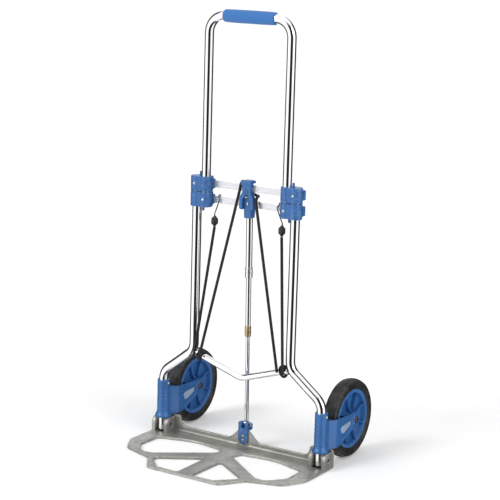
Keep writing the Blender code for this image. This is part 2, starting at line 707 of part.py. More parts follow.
def toe_plate_body():
    pieces = [toe_plate(), rod_bracket(), rod_pin()]
    for place, z in RIVETS_Z.items():
        rivet = front_screw("bracket_rivet_" + place, 0, BRACKET_Y[0], z, RIVET_DEPTH)
        rivet.data.materials[0] = BRASS
        pieces.append(rivet)
    for side, sx in SIDES:
        ends = (sx * FOOT_X - EAR_OUT + 0.0004, sx * FOOT_X + EAR_OUT - 0.0004)
        pieces.append(cylinder("hinge_pin_" + side, (ends[0], 0, HINGE_Z), (ends[1], 0, HINGE_Z),
                               HINGE_PIN_R, STEEL, sides=16))
    return pieces


# ---------------------------------------------------------------- wheels and their brackets

def wheel_bracket(side, sx):
    """A sleeve that turns on the foot tube, with a fork for the wheel."""
    x = sx * FOOT_X
    low, high = SLEEVE_Z
    arm = filleted([(0.004, 0.0428), (0.044, 0.0428), (0.060, 0.0485), (0.128, 0.0765), (0.1335, 0.0900),
                    (0.126, 0.1035), (0.104, 0.1035), (0.060, 0.1050), (0.004, 0.1085)],
                   [0, 0.010, 0.010, 0.010, 0.010, 0.010, 0.020, 0.030, 0], steps=3, closed=True)
    bracket = prism("wheel_bracket_" + side, arm, "YZ", x - FORK_OUT, x + FORK_OUT, BLUE)
    fork_x = x + FORK_OUT + 0.001
    plan = [(x + 0.0120, 0.0), (x + 0.0140, 0.012), (fork_x, 0.0335), (fork_x, 0.140)]
    plan += [(2 * x - px, py) for px, py in reversed(plan)]
    boolean(bracket, prism("plan", plan, "XY", 0.02, 0.15), "INTERSECT")
    cut(bracket, cylinder("wheel_space", (x - FORK_IN, WHEEL_Y, WHEEL_R), (x + FORK_IN, WHEEL_Y, WHEEL_R),
                          WHEEL_R + 0.003, sides=28))
    sleeve = [(0, high), (SLEEVE_R, high), (SLEEVE_R, FLARE_TOP_Z), (FLARE_R, low + 0.005), (FLARE_R, low),
              (0, low)]
    join(bracket, turned("sleeve", sleeve, Matrix.Translation((x, 0, 0)), closed=False, sides=16))
    cut(bracket, cylinder("bore", (x, 0, low - 0.01), (x, 0, high + 0.01), TUBE_R + GAP, sides=16))
    cut(bracket, cylinder("axle_hole", (x - 0.03, WHEEL_Y, WHEEL_R), (x + 0.03, WHEEL_Y, WHEEL_R),
                          AXLE_R + GAP, sides=16))
    cut(bracket, cylinder("screw_hole", (x + 0.0112, 0, SLEEVE_SCREW_Z), (x + 0.02, 0, SLEEVE_SCREW_Z),
                          SCREW_SHANK_R + GAP, sides=12))
    return bracket


def wheel_hardware(side, sx):
    x = sx * FOOT_X
    end = FORK_OUT + GAP
    tail = -end - NUT_T - PLAY
    axle_profile = [(0, end + NUT_T), (0.0062, end + NUT_T), (0.0075, end + 0.003), (0.0075, end),
                    (AXLE_R, end), (AXLE_R, tail), (0, tail)]
    axle = turned("axle_" + side, axle_profile, along_x((x, WHEEL_Y, WHEEL_R)), STEEL, sides=16,
                  closed=False)
    nut_profile = [(AXLE_R + GAP, -end), (NUT_R, -end), (NUT_R, -end - NUT_T), (AXLE_R + GAP, -end - NUT_T)]
    nut = turned("axle_nut_" + side, nut_profile, along_x((x, WHEEL_Y, WHEEL_R)), STEEL, sides=12)
    screw = [(0, 0.0017), (0.0024, 0.0011), (0.0029, GAP), (SCREW_SHANK_R, GAP),
             (SCREW_SHANK_R, -SLEEVE_SCREW_DEPTH), (0, -SLEEVE_SCREW_DEPTH)]
    pin = turned("sleeve_screw_" + side, screw, along_x((x + SLEEVE_R, 0, SLEEVE_SCREW_Z)), STEEL, sides=12,
                 closed=False)
    return [axle, nut, pin]


def wheel(side, sx):
    centre = (sx * FOOT_X, WHEEL_Y, WHEEL_R)
    half = [(TYRE_IN_R, 0.0130), (0.0735, 0.0150), (0.0800, TYRE_HALF), (0.0838, 0.0142), (0.0864, 0.0105),
            (WHEEL_R, 0.0055)]
    profile = half + [(radius, -height) for radius, height in reversed(half)]
    tyre = turned("tyre_" + side, profile, along_x(centre), RUBBER, sides=24)
    ring = TYRE_IN_R - GAP
    half = [(0.0085, HUB_HALF), (0.0165, HUB_HALF), (0.0165, 0.003), (0.0600, 0.003), (0.0600, 0.0135),
            (ring, 0.0135)]
    profile = half + [(radius, -height) for radius, height in reversed(half)]
    rim = turned("rim_" + side, profile, along_x(centre), BLUE, sides=24)
    bush_in, bush_out = AXLE_R + GAP, 0.0082
    bush = turned("hub_bush_" + side, [(bush_in, HUB_HALF), (bush_out, HUB_HALF), (bush_out, -HUB_HALF),
                                       (bush_in, -HUB_HALF)], along_x(centre), BLACK, sides=16)
    return [tyre, rim, bush]


# ---------------------------------------------------------------- telescopic rod

def rod_ring(name, radii, start, end, material, sides=16):
    outer, inner = radii
    profile = [(outer, end), (outer, start), (inner, start), (inner, end)]
    return turned(name, profile, ROD_FRAME, material, sides=sides)


def ferrule(place, tube_r, start, material):
    """The collar on the lower end of a sliding tube."""
    radii = (tube_r + FERRULE_WALL, tube_r + GAP)
    return rod_ring("rod_ferrule_" + place, radii, start, start + FERRULE_LENGTH, material)


def rod_lower():
    profile = [(0, ROD_LOWER_TO), (ROD_LOWER_R, ROD_LOWER_TO), (ROD_LOWER_R, 0.002), (0, 0.002)]
    rod = turned("rod_lower", profile, ROD_FRAME, CHROME, sides=16, closed=False)
    x, y, z = ROD_PIN
    join(rod, cylinder("eye", (-0.0045, y, z), (0.0045, y, z), 0.0063, sides=20))
    cut(rod, cylinder("pin_hole", (-0.03, y, z), (0.03, y, z), ROD_PIN_R + GAP, sides=16))
    return rod


def rod_mid():
    start, end = ROD_MID_AT
    return [rod_ring("rod_mid", ROD_MID_R, start, end, CHROME), ferrule("lower", ROD_MID_R[0], start, BRASS)]


def rod_upper():
    return [rod_ring("rod_upper", ROD_UPPER_R, ROD_UPPER_FROM, ROD_LENGTH, CHROME),
            ferrule("upper", ROD_UPPER_R[0], ROD_UPPER_FROM, STEEL)]


# ---------------------------------------------------------------- assembly

def assemble():
    frame_root = joint_empty("frame", (0, 0, 0))
    attach_all(frame() + [bungee_outer(side, sx) for side, sx in SIDES], frame_root)
    attach_all(handle(), joint_empty("handle", (0, 0, LOWER_Z), frame_root))
    attach(latch_knob(), joint_empty("latch", LATCH_PIVOT, frame_root))
    plate_joint = joint_empty("toe_plate_hinge", (0, 0, HINGE_Z), frame_root)
    attach_all(toe_plate_body(), plate_joint)
    rod_joint = joint_empty("rod_hinge", ROD_PIN, plate_joint)
    attach(rod_lower(), rod_joint)
    mid_joint = joint_empty("rod_mid_slide", ROD_FRAME @ Vector((0, 0, ROD_MID_AT[0])), rod_joint)
    attach_all(rod_mid(), mid_joint)
    attach_all(rod_upper(), joint_empty("rod_upper_slide", ROD_FRAME @ Vector((0, 0, ROD_UPPER_FROM)),
                                        mid_joint))
    for side, sx in SIDES:
        swivel = joint_empty("wheel_bracket_joint_" + side, (sx * FOOT_X, 0, SLEEVE_Z[0]), frame_root)
        attach(wheel_bracket(side, sx), swivel)
        attach_all(wheel_hardware(side, sx), swivel)
        spin = joint_empty("wheel_joint_" + side, (sx * FOOT_X, WHEEL_Y, WHEEL_R), swivel)
        attach_all(wheel(side, sx), spin)


assemble()
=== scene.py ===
"""Looks of the folding platform cart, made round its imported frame.

Metres, +Z up. The toe plate points along -Y and the wheels stand on the +Y side. Each piece takes
its place from the frame's nodes and rides on the body of the node that it stands for.
"""

import json
import math

import bmesh
import bpy
from mathutils import Matrix, Vector, noise


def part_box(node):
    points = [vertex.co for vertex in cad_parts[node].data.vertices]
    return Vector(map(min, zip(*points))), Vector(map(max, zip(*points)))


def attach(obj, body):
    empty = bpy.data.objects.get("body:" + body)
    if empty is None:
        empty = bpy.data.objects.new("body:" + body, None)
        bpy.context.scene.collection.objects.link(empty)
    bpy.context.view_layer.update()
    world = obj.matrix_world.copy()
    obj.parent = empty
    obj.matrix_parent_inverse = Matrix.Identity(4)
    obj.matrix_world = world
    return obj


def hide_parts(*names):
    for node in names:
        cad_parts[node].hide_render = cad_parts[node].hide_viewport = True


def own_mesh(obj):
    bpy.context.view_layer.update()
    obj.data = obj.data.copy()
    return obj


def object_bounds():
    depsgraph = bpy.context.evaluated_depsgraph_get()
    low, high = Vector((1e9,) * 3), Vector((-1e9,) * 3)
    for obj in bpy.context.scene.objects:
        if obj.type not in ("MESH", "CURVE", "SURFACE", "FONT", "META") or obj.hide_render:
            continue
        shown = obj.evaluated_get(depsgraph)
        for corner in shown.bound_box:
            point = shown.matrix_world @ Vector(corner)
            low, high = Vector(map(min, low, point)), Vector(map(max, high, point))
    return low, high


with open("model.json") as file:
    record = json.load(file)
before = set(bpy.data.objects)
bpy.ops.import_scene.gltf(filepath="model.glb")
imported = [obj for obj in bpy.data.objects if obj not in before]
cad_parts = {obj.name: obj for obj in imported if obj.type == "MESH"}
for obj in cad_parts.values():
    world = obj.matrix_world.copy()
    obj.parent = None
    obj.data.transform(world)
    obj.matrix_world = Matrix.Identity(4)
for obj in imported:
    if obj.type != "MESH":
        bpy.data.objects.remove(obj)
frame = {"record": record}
CAD_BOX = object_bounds()
RECORD = frame["record"]
BODY_OF = {node: body for body, nodes in RECORD["behaviour"]["bodies"].items() for node in nodes}
SIDES = (("left", -1), ("right", 1))


# ---------------------------------------------------------------- camera, light and floor

FOCAL_SHARE = 3.21218           # focal length over the picture's width
AZIMUTH, ELEVATION, ROLL = (math.radians(a) for a in (32.58, 11.63, 1.62))
DISTANCE = 3.46938
TARGET = Vector((0.0149, 0, 0.45576))


def make_camera():
    data = bpy.data.cameras.new("camera")
    data.sensor_width = 36
    data.lens = FOCAL_SHARE * data.sensor_width
    data.clip_end = 200
    back = Vector((math.sin(AZIMUTH) * math.cos(ELEVATION), -math.cos(AZIMUTH) * math.cos(ELEVATION),
                   math.sin(ELEVATION)))
    level = Vector((math.cos(AZIMUTH), math.sin(AZIMUTH), 0))
    above = back.cross(level)
    right = level * math.cos(ROLL) + above * math.sin(ROLL)
    up = above * math.cos(ROLL) - level * math.sin(ROLL)
    camera = bpy.data.objects.new("camera", data)
    bpy.context.scene.collection.objects.link(camera)
    turn = Matrix((right, up, back)).transposed().to_4x4()
    camera.matrix_world = Matrix.Translation(TARGET + back * DISTANCE) @ turn
    bpy.context.scene.camera = camera


def add_node(tree, kind, inputs=None, **settings):
    """Adds a node. inputs gives its sockets plain values, or the sockets that feed them."""
    node = tree.nodes.new("ShaderNode" + kind)
    for key, value in settings.items():
        setattr(node, key, value)
    for key, value in (inputs or {}).items():
        if isinstance(value, bpy.types.NodeSocket):
            tree.links.new(value, node.inputs[key])
        else:
            node.inputs[key].default_value = value
    return node


def ramp_stops(node, stops):
    """Sets a colour ramp's stops from (position, grey) pairs."""
    ramp = node.color_ramp
    ramp.interpolation = "EASE"
    while len(ramp.elements) < len(stops):
        ramp.elements.new(0.5)
    for element, (position, grey) in zip(ramp.elements, stops):
        element.position = position
        element.color = (grey, grey, grey, 1)


# Greys that gloss sees round the cart, by the angle in degrees from the camera's side
FLAGS = [(-180, 1.0), (-166, 1.0), (-158, 0.05), (-104, 0.05), (-93, 1.25), (-33, 1.25), (-25, 0.02),
         (27, 0.02), (36, 1.3), (80, 1.3), (90, 0.03), (158, 0.03), (166, 1.0), (180, 1.0)]
OVERHEAD_FROM, OVERHEAD_FULL, OVERHEAD_GREY = 38, 56, 1.15
SOFT_STRENGTH = 0.62
WHITE = (1, 1, 1, 1)


def make_world():
    """A white room. Gloss sees dark flags between bright panels, which streak the chrome."""
    world = bpy.data.worlds.new("studio")
    bpy.context.scene.world = world
    world.use_nodes = True
    tree = world.node_tree
    tree.nodes.clear()
    direction = add_node(tree, "TexCoord").outputs["Generated"]
    height = add_node(tree, "SeparateXYZ", {0: direction}).outputs["Z"]
    turn = add_node(tree, "VectorRotate", {"Vector": direction, "Angle": math.pi / 2 - AZIMUTH},
                    rotation_type="Z_AXIS")
    turned = add_node(tree, "SeparateXYZ", {0: turn.outputs[0]})
    around = add_node(tree, "Math", {0: turned.outputs["Y"], 1: turned.outputs["X"]}, operation="ARCTAN2")
    limits = {"From Min": -math.pi, "From Max": math.pi}
    share = add_node(tree, "MapRange", {**limits, "Value": around.outputs[0]})
    flags = add_node(tree, "ValToRGB", {0: share.outputs[0]})
    ramp_stops(flags, [((degrees + 180) / 360, grey) for degrees, grey in FLAGS])
    limits = {"From Min": math.sin(math.radians(OVERHEAD_FROM)),
              "From Max": math.sin(math.radians(OVERHEAD_FULL))}
    overhead = add_node(tree, "MapRange", {**limits, "Value": height}, interpolation_type="SMOOTHSTEP")
    panel = (OVERHEAD_GREY, OVERHEAD_GREY, OVERHEAD_GREY, 1)
    room = add_node(tree, "Mix", {"Factor": overhead.outputs[0], "A": flags.outputs[0], "B": panel},
                    data_type="RGBA")
    gloss = add_node(tree, "Background", {"Color": room.outputs["Result"]})
    soft = add_node(tree, "Background", {"Color": WHITE, "Strength": SOFT_STRENGTH})
    seen = add_node(tree, "Background", {"Color": WHITE})
    path = add_node(tree, "LightPath").outputs
    lit = add_node(tree, "MixShader", {0: path["Is Glossy Ray"], 1: soft.outputs[0], 2: gloss.outputs[0]})
    final = add_node(tree, "MixShader", {0: path["Is Camera Ray"], 1: lit.outputs[0], 2: seen.outputs[0]})
    add_node(tree, "OutputWorld", {0: final.outputs[0]})


def add_sun(name, azimuth, elevation, strength, spread):
    """A soft distant light. Its azimuth is measured as the camera's is."""
    light = bpy.data.lights.new(name, "SUN")
    light.energy = strength
    light.angle = math.radians(spread)
    obj = bpy.data.objects.new(name, light)
    bpy.context.scene.collection.objects.link(obj)
    a, e = math.radians(azimuth), math.radians(elevation)
    towards = Vector((math.sin(a) * math.cos(e), -math.cos(a) * math.cos(e), math.sin(e)))
    obj.rotation_euler = towards.to_track_quat("Z", "Y").to_euler()


def make_floor():
    bm = bmesh.new()
    bmesh.ops.create_circle(bm, cap_ends=True, radius=60, segments=64)
    mesh = bpy.data.meshes.new("floor")
    bm.to_mesh(mesh)
    bm.free()
    floor = bpy.data.objects.new("floor", mesh)
    floor.location.z = CAD_BOX[0][2] - 0.0004
    floor.visible_glossy = False
    bpy.context.scene.collection.objects.link(floor)
    material = bpy.data.materials.new("floor")
    material.use_nodes = True
    shader = material.node_tree.nodes["Principled BSDF"]
    shader.inputs["Base Color"].default_value = (0.93, 0.93, 0.93, 1)
    shader.inputs["Roughness"].default_value = 0.9
    shader.inputs["Specular IOR Level"].default_value = 0.0
    shader.inputs["Emission Color"].default_value = (1, 1, 1, 1)
    shader.inputs["Emission Strength"].default_value = 0.16
    mesh.materials.append(material)


# ---------------------------------------------------------------- materials

def linear(red, green, blue):
    """A colour picked in sRGB, from 0 to 255, as Blender's linear colour."""
    channels = [c / 255 for c in (red, green, blue)]
    return tuple(c / 12.92 if c <= 0.04045 else ((c + 0.055) / 1.055) ** 2.4 for c in channels)


class Finish:
    """A material on a Principled shader, with helpers for its node tree."""

    def __init__(self, name, roughness, metallic=0.0, specular=0.5, coat=0.0):
        self.material = bpy.data.materials.new(name)
        self.material.use_nodes = True
        self.tree = self.material.node_tree
        self.shader = self.tree.nodes["Principled BSDF"]
        settings = {"Roughness": roughness, "Metallic": metallic, "Specular IOR Level": specular,
                    "Coat Weight": coat, "Coat Roughness": 0.2}
        for key, value in settings.items():
            self.shader.inputs[key].default_value = value
        self.place = self.add("TexCoord").outputs["Object"]

    def add(self, kind, inputs=None, **settings):
        return add_node(self.tree, kind, inputs, **settings)

    def noise(self, scale, detail=3.0, stretch=(1, 1, 1)):
        """Noise with features about 1 / scale metres wide."""
        mapped = self.add("Mapping", {"Scale": stretch, "Vector": self.place}).outputs[0]
        return self.add("TexNoise", {"Scale": scale, "Detail": detail, "Vector": mapped}).outputs["Fac"]

    def bands(self, scale, turn):
        """Straight stripes, turned by the given Euler angles."""
        mapped = self.add("Mapping", {"Rotation": turn, "Vector": self.place}).outputs[0]
        return self.add("TexWave", {"Scale": scale, "Distortion": 0.6, "Vector": mapped}).outputs["Fac"]

    def scaled(self, value, low, high, from_low=0.3, from_high=0.7):
        limits = {"From Min": from_low, "From Max": from_high, "To Min": low, "To Max": high}
        return self.add("MapRange", {**limits, "Value": value}).outputs[0]

    def mixed(self, factor, first, second):
        """Two colours, or colour sockets, mixed by a factor."""
        first, second = ((*c, 1) if isinstance(c, tuple) else c for c in (first, second))
        mix = self.add("Mix", {"Factor": factor, "A": first, "B": second}, data_type="RGBA")
        return mix.outputs["Result"]

    def edges(self, low=0.505, high=0.54):
        """1 on worn outer edges, 0 on flat faces and in corners."""
        return self.scaled(self.add("NewGeometry").outputs["Pointiness"], 0, 1, low, high)

    def times(self, first, second):
        return self.add("Math", {0: first, 1: second}, operation="MULTIPLY").outputs[0]

    def colour(self, socket):
        self.tree.links.new(socket, self.shader.inputs["Base Color"])

    def roughness(self, socket):
        self.tree.links.new(socket, self.shader.inputs["Roughness"])

    def bump(self, height, strength, depth):
        """A bump on top of any that the shader already has."""
        inputs = {"Strength": strength, "Distance": depth, "Height": height}
        normal = self.shader.inputs["Normal"]
        if normal.is_linked:
            inputs["Normal"] = normal.links[0].from_socket
        self.tree.links.new(self.add("Bump", inputs).outputs[0], normal)


def shade(colour, factor):
    return tuple(c * factor for c in colour)


def plastic(name, colour, roughness=0.36, grain=1400, coat=0.15):
    """Moulded plastic: fine spark-eroded grain, a little colour drift, paler worn edges."""
    finish = Finish(name, roughness, coat=coat)
    drift = finish.mixed(finish.scaled(finish.noise(28), 0, 1), shade(colour, 0.88), shade(colour, 1.1))
    worn = tuple(0.75 * c + 0.25 * d for c, d in zip(colour, (0.35, 0.5, 0.75)))
    wear = finish.times(finish.edges(), finish.scaled(finish.noise(160), 0, 0.8, 0.45, 0.7))
    finish.colour(finish.mixed(wear, drift, worn))
    finish.roughness(finish.scaled(finish.noise(90), roughness - 0.06, roughness + 0.08))
    finish.bump(finish.noise(grain, 2), 0.25, 0.00012)
    return finish.material


def chrome(name="chrome"):
    """Bright plate over drawn tube: faint smears and hairline draw marks."""
    finish = Finish(name, 0.05, metallic=1.0)
    smears = finish.scaled(finish.noise(14), 0, 1)
    finish.colour(finish.mixed(smears, (0.80, 0.81, 0.83), (0.90, 0.90, 0.91)))
    finish.roughness(finish.scaled(finish.noise(55, 5), 0.03, 0.11))
    finish.bump(finish.noise(220, 3, (1, 1, 0.05)), 0.05, 0.00005)
    return finish.material


def brushed(name, colour, roughness, stretch, metallic=1.0):
    """Metal with fine parallel scratches along one direction."""
    finish = Finish(name, roughness, metallic=metallic)
    lines = finish.noise(900, 2, stretch)
    finish.colour(finish.mixed(finish.scaled(lines, 0, 1), shade(colour, 0.93), shade(colour, 1.04)))
    finish.roughness(finish.scaled(lines, roughness - 0.07, roughness + 0.08))
    finish.bump(lines, 0.08, 0.00004)
    return finish.material


def casting():
    """Satin cast aluminium under a clear grey lacquer, rubbed bright along its edges."""
    finish = Finish("cast_aluminium", 0.42, metallic=0.35, coat=0.1)
    clouds = finish.scaled(finish.noise(24, 5), 0, 1)
    base = finish.mixed(clouds, linear(130, 129, 123), linear(155, 154, 148))
    specks = finish.scaled(finish.noise(900, 2), 0, 0.35, 0.5, 0.75)
    speckled = finish.mixed(specks, base, linear(111, 110, 106))
    wear = finish.times(finish.edges(0.502, 0.53), finish.scaled(finish.noise(120, 4), 0.1, 0.9))
    finish.colour(finish.mixed(wear, speckled, linear(190, 189, 184)))
    finish.roughness(finish.scaled(finish.noise(70, 4), 0.34, 0.52))
    finish.bump(finish.noise(650, 3), 0.35, 0.00018)
    finish.bump(finish.noise(45, 2), 0.12, 0.0008)
    return finish.material


def rubber():
    """Tyre rubber: dull black with dust in its grain."""
    finish = Finish("tyre_rubber", 0.6, specular=0.45)
    dust = finish.scaled(finish.noise(60, 6), 0, 1, 0.42, 0.75)
    finish.colour(finish.mixed(dust, linear(24, 25, 26), linear(58, 58, 56)))
    finish.roughness(finish.scaled(finish.noise(200, 3), 0.42, 0.66))
    finish.bump(finish.noise(1100, 3), 0.3, 0.00015)
    return finish.material


def foam():
    """Closed-cell grip foam with small open pores."""
    finish = Finish("grip_foam", 0.72, specular=0.3)
    colour = linear(58, 118, 188)
    cells = finish.scaled(finish.noise(1300, 2), 0, 1)
    finish.colour(finish.mixed(cells, shade(colour, 0.82), shade(colour, 1.12)))
    finish.shader.inputs["Sheen Weight"].default_value = 0.25
    finish.bump(finish.noise(1500, 2), 0.6, 0.00025)
    finish.bump(finish.noise(60, 2), 0.15, 0.0006)
    return finish.material


def braid():
    """The woven sleeve of an elastic cord."""
    finish = Finish("braided_cord", 0.7, specular=0.35)
    tilt = math.radians(52)
    weave = finish.times(finish.bands(330, (0, tilt, 0.3)), finish.bands(330, (0, -tilt, -0.3)))
    finish.colour(finish.mixed(finish.scaled(weave, 0, 1, 0, 0.7), linear(10, 11, 12), linear(38, 39, 42)))
    finish.shader.inputs["Sheen Weight"].default_value = 0.15
    finish.bump(weave, 0.7, 0.0003)
    return finish.material


make_camera()
make_world()
make_floor()
add_sun("key", -28, 38, 1.15, 24)
add_sun("fill", 78, 26, 0.75, 40)
bpy.context.scene.view_settings.view_transform = "Standard"

BLUE = plastic("blue_plastic", linear(43, 98, 160))
BLACK = plastic("black_plastic", linear(26, 27, 28), 0.42)
LABEL = plastic("blank_label", linear(146, 163, 186), 0.45, grain=700)
CHROME = chrome()
BAR = brushed("polished_aluminium", (0.74, 0.74, 0.775), 0.3, (0.02, 1, 1), 0.6)
ZINC = brushed("zinc_steel", (0.82, 0.81, 0.78), 0.28, (1, 1, 0.2))
BRASS = brushed("dull_brass", linear(206, 178, 138), 0.38, (1, 1, 0.2))
AGED = brushed("aged_steel", linear(112, 103, 88), 0.42, (1, 1, 0.2))
CASTING = casting()
RUBBER = rubber()
FOAM = foam()
BRAID = braid()


# ---------------------------------------------------------------- mesh helpers

LOOKS = bpy.data.collections.new("cart_looks")
bpy.context.scene.collection.children.link(LOOKS)


def centre(node):
    low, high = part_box(node)
    return (low + high) / 2


def new_object(name, mesh, sharp=35):
    obj = bpy.data.objects.new(name, mesh)
    LOOKS.objects.link(obj)
    mesh.shade_smooth()
    mesh.set_sharp_from_angle(angle=math.radians(sharp))
    return obj


def from_bmesh(name, bm, sharp=35):
    bmesh.ops.recalc_face_normals(bm, faces=bm.faces)
    mesh = bpy.data.meshes.new(name)
    bm.to_mesh(mesh)
    bm.free()
    return new_object(name, mesh, sharp)


def stand_for(obj, node, material):
    """obj takes the node's place and body, and is painted in the material given."""
    dress(obj, node, material)
    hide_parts(node)
    return obj


def dress(obj, node, material):
    """obj is an extra detail on the node's body, painted in the material given."""
    obj.data.materials.clear()
    obj.data.materials.append(material)
    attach(obj, BODY_OF[node])
    return obj


def arc(middle, radius, start, end, steps):
    turns = [math.radians(start + (end - start) * k / steps) for k in range(steps + 1)]
    return [Vector(middle) + radius * Vector((math.cos(t), math.sin(t))) for t in turns]


def filleted(corners, radii, steps=8, closed=False):
    """Points along straight runs with a round bend at each corner."""
    corners = [Vector(c) for c in corners]
    points = []
    for i, corner in enumerate(corners):
        radius = radii[i] if isinstance(radii, (list, tuple)) else radii
        if radius == 0 or (not closed and i in (0, len(corners) - 1)):
            points.append(corner)
            continue
        back = (corners[i - 1] - corner).normalized()
        ahead = (corners[(i + 1) % len(corners)] - corner).normalized()
        half = back.angle(ahead) / 2
        middle = corner + (back + ahead).normalized() * (radius / math.sin(half))
        start = corner + back * (radius / math.tan(half)) - middle
        end = corner + ahead * (radius / math.tan(half)) - middle
        points += [middle + start.slerp(end, k / steps) * radius for k in range(steps + 1)]
    return points


def rounded_rectangle(low_x, low_y, high_x, high_y, radii, steps):
    corners = [(low_x, low_y), (high_x, low_y), (high_x, high_y), (low_x, high_y)]
    return filleted(corners, radii, steps, closed=True)


def both_ways(half):
    """A profile of (radius, height) pairs, followed by its mirror image below."""
    return half + [(radius, -height) for radius, height in reversed(half)]


def smooth_path(points, pieces=5):
    """A Catmull-Rom curve through the points."""
    points = [Vector(p) for p in points]
    padded = [2 * points[0] - points[1], *points, 2 * points[-1] - points[-2]]
    path = []
    for a, b, c, d in zip(padded, padded[1:], padded[2:], padded[3:]):
        for k in range(pieces):
            t = k / pieces
            path.append(0.5 * (2 * b + (c - a) * t + (2 * a - 5 * b + 4 * c - d) * t * t
                               + (3 * b - a - 3 * c + d) * t ** 3))
    return path + [points[-1]]


def sweep(name, points, radius, sides=24, closed=False, dome=0.0):
    """A round bar along points. radius may be a function of the share of its length."""
    size = radius if callable(radius) else lambda share: radius
    count = len(points)
    bm = bmesh.new()
    rings = []
    across = None
    for i, point in enumerate(points):
        before = points[i - 1] if i or closed else points[i]
        after = points[(i + 1) % count] if i < count - 1 or closed else points[i]
        along = (after - before).normalized()
        if across is None:
            across = along.orthogonal().normalized()
        across = (across - along * across.dot(along)).normalized()
        other = along.cross(across)
        reach = size(i / (count - 1))
        turns = [2 * math.pi * k / sides for k in range(sides)]
        rings.append([bm.verts.new(point + reach * (math.cos(t) * across + math.sin(t) * other))
                      for t in turns])
        if i == 0:
            first_along = along
    pairs = list(zip(rings, rings[1:]))
    if closed:
        shift = min(range(sides), key=lambda k: (rings[0][k].co - rings[-1][0].co).length)
        pairs.append((rings[-1], rings[0][shift:] + rings[0][:shift]))
    for low, high in pairs:
        for k in range(sides):
            bm.faces.new((low[k], low[(k + 1) % sides], high[(k + 1) % sides], high[k]))
    if not closed:
        for ring, point, way in ((rings[0], points[0], -first_along), (rings[-1], points[-1], along)):
            if dome:
                tip = bm.verts.new(point + way * dome)
                for k in range(sides):
                    bm.faces.new((ring[k], ring[(k + 1) % sides], tip))
            else:
                bm.faces.new(ring)
    return from_bmesh(name, bm)


def lathe(name, profile, matrix=Matrix(), sides=48, closed=False, sharp=35):
    """Turns (radius, height) pairs about matrix's Z axis. A closed profile is a ring's section."""
    bm = bmesh.new()
    rings = []
    for radius, height in profile:
        if radius == 0:
            rings.append([bm.verts.new(matrix @ Vector((0, 0, height)))])
            continue
        turns = [2 * math.pi * k / sides for k in range(sides)]
        rings.append([bm.verts.new(matrix @ Vector((radius * math.cos(t), radius * math.sin(t), height)))
                      for t in turns])
    pairs = list(zip(rings, rings[1:]))
    if closed:
        pairs.append((rings[-1], rings[0]))
    for low, high in pairs:
        for k in range(sides):
            after = k + 1
            corners = [low[k % len(low)], low[after % len(low)], high[after % len(high)], high[k % len(high)]]
            unique = list(dict.fromkeys(corners))
            if len(unique) > 2:
                bm.faces.new(unique)
    if not closed:
        for ring in (rings[0], rings[-1]):
            if len(ring) > 1:
                bm.faces.new(ring)
    return from_bmesh(name, bm, sharp)


PLANES = {
    "XY": Matrix(((1, 0, 0, 0), (0, 1, 0, 0), (0, 0, 1, 0), (0, 0, 0, 1))),
    "YZ": Matrix(((0, 0, 1, 0), (1, 0, 0, 0), (0, 1, 0, 0), (0, 0, 0, 1))),
    "XZ": Matrix(((1, 0, 0, 0), (0, 0, -1, 0), (0, 1, 0, 0), (0, 0, 0, 1))),
}


def wound(loop, way):
    """The loop's points in the given sense: 1 is anticlockwise, -1 clockwise."""
    loop = [Vector(point) for point in loop]
    area = sum(a.x * b.y - b.x * a.y for a, b in zip(loop, loop[1:] + loop[:1]))
    return loop if area * way > 0 else loop[::-1]


def prism(name, outline, plane, low, high, bevel=0.0, holes=()):
    """A flat outline in one of the main planes, with rounded rims, from low to high."""
    curve = bpy.data.curves.new(name, "CURVE")
    curve.dimensions = "2D"
    curve.fill_mode = "BOTH"
    curve.extrude = (high - low) / 2 - bevel
    curve.bevel_depth = bevel
    curve.bevel_resolution = 2
    curve.offset = -bevel
    for loop in (wound(outline, 1), *(wound(hole, -1) for hole in holes)):
        spline = curve.splines.new("POLY")
        spline.points.add(len(loop) - 1)
        for at, point in zip(spline.points, loop):
            at.co = (*point, 0.0, 1.0)
        spline.use_cyclic_u = True
    guide = bpy.data.objects.new(name, curve)
    LOOKS.objects.link(guide)
    middle = (low + high) / 2
    shift = {"XY": (0, 0, middle), "YZ": (middle, 0, 0), "XZ": (0, middle, 0)}[plane]
    bpy.context.view_layer.update()
    mesh = bpy.data.meshes.new_from_object(guide.evaluated_get(bpy.context.evaluated_depsgraph_get()))
    bpy.data.objects.remove(guide, do_unlink=True)
    mesh.transform(Matrix.Translation(shift) @ PLANES[plane])
    bm = bmesh.new()
    bm.from_mesh(mesh)
    bmesh.ops.remove_doubles(bm, verts=bm.verts, dist=0.00001)
    return from_bmesh(name, bm)


def round_box(name, low, high, bevel=0.0008, segments=3):
    low, high = Vector(low), Vector(high)
    bm = bmesh.new()
    bmesh.ops.create_cube(bm, size=1.0)
    bmesh.ops.scale(bm, vec=high - low, verts=bm.verts)
    bmesh.ops.translate(bm, vec=(low + high) / 2, verts=bm.verts)
    if bevel:
        bmesh.ops.bevel(bm, geom=bm.edges, offset=bevel, segments=segments, profile=0.5, affect="EDGES")
    return from_bmesh(name, bm)


def rod(name, start, end, radius, sides=32, bevel=0.0):
    """A straight round bar with chamfered ends."""
    start, end = Vector(start), Vector(end)
    length = (end - start).length
    turn = (end - start).to_track_quat("Z", "Y").to_matrix().to_4x4()
    profile = [(0, length), (radius - bevel, length), (radius, length - bevel), (radius, bevel),
               (radius - bevel, 0), (0, 0)]
    if not bevel:
        profile = [(0, length), (radius, length), (radius, 0), (0, 0)]
    return lathe(name, profile, Matrix.Translation(start) @ turn, sides)


def rod_along_x(name, low_x, high_x, at, radius, sides=32, bevel=0.0):
    """A round bar parallel to X, through the point at."""
    return rod(name, (low_x, at.y, at.z), (high_x, at.y, at.z), radius, sides, bevel)


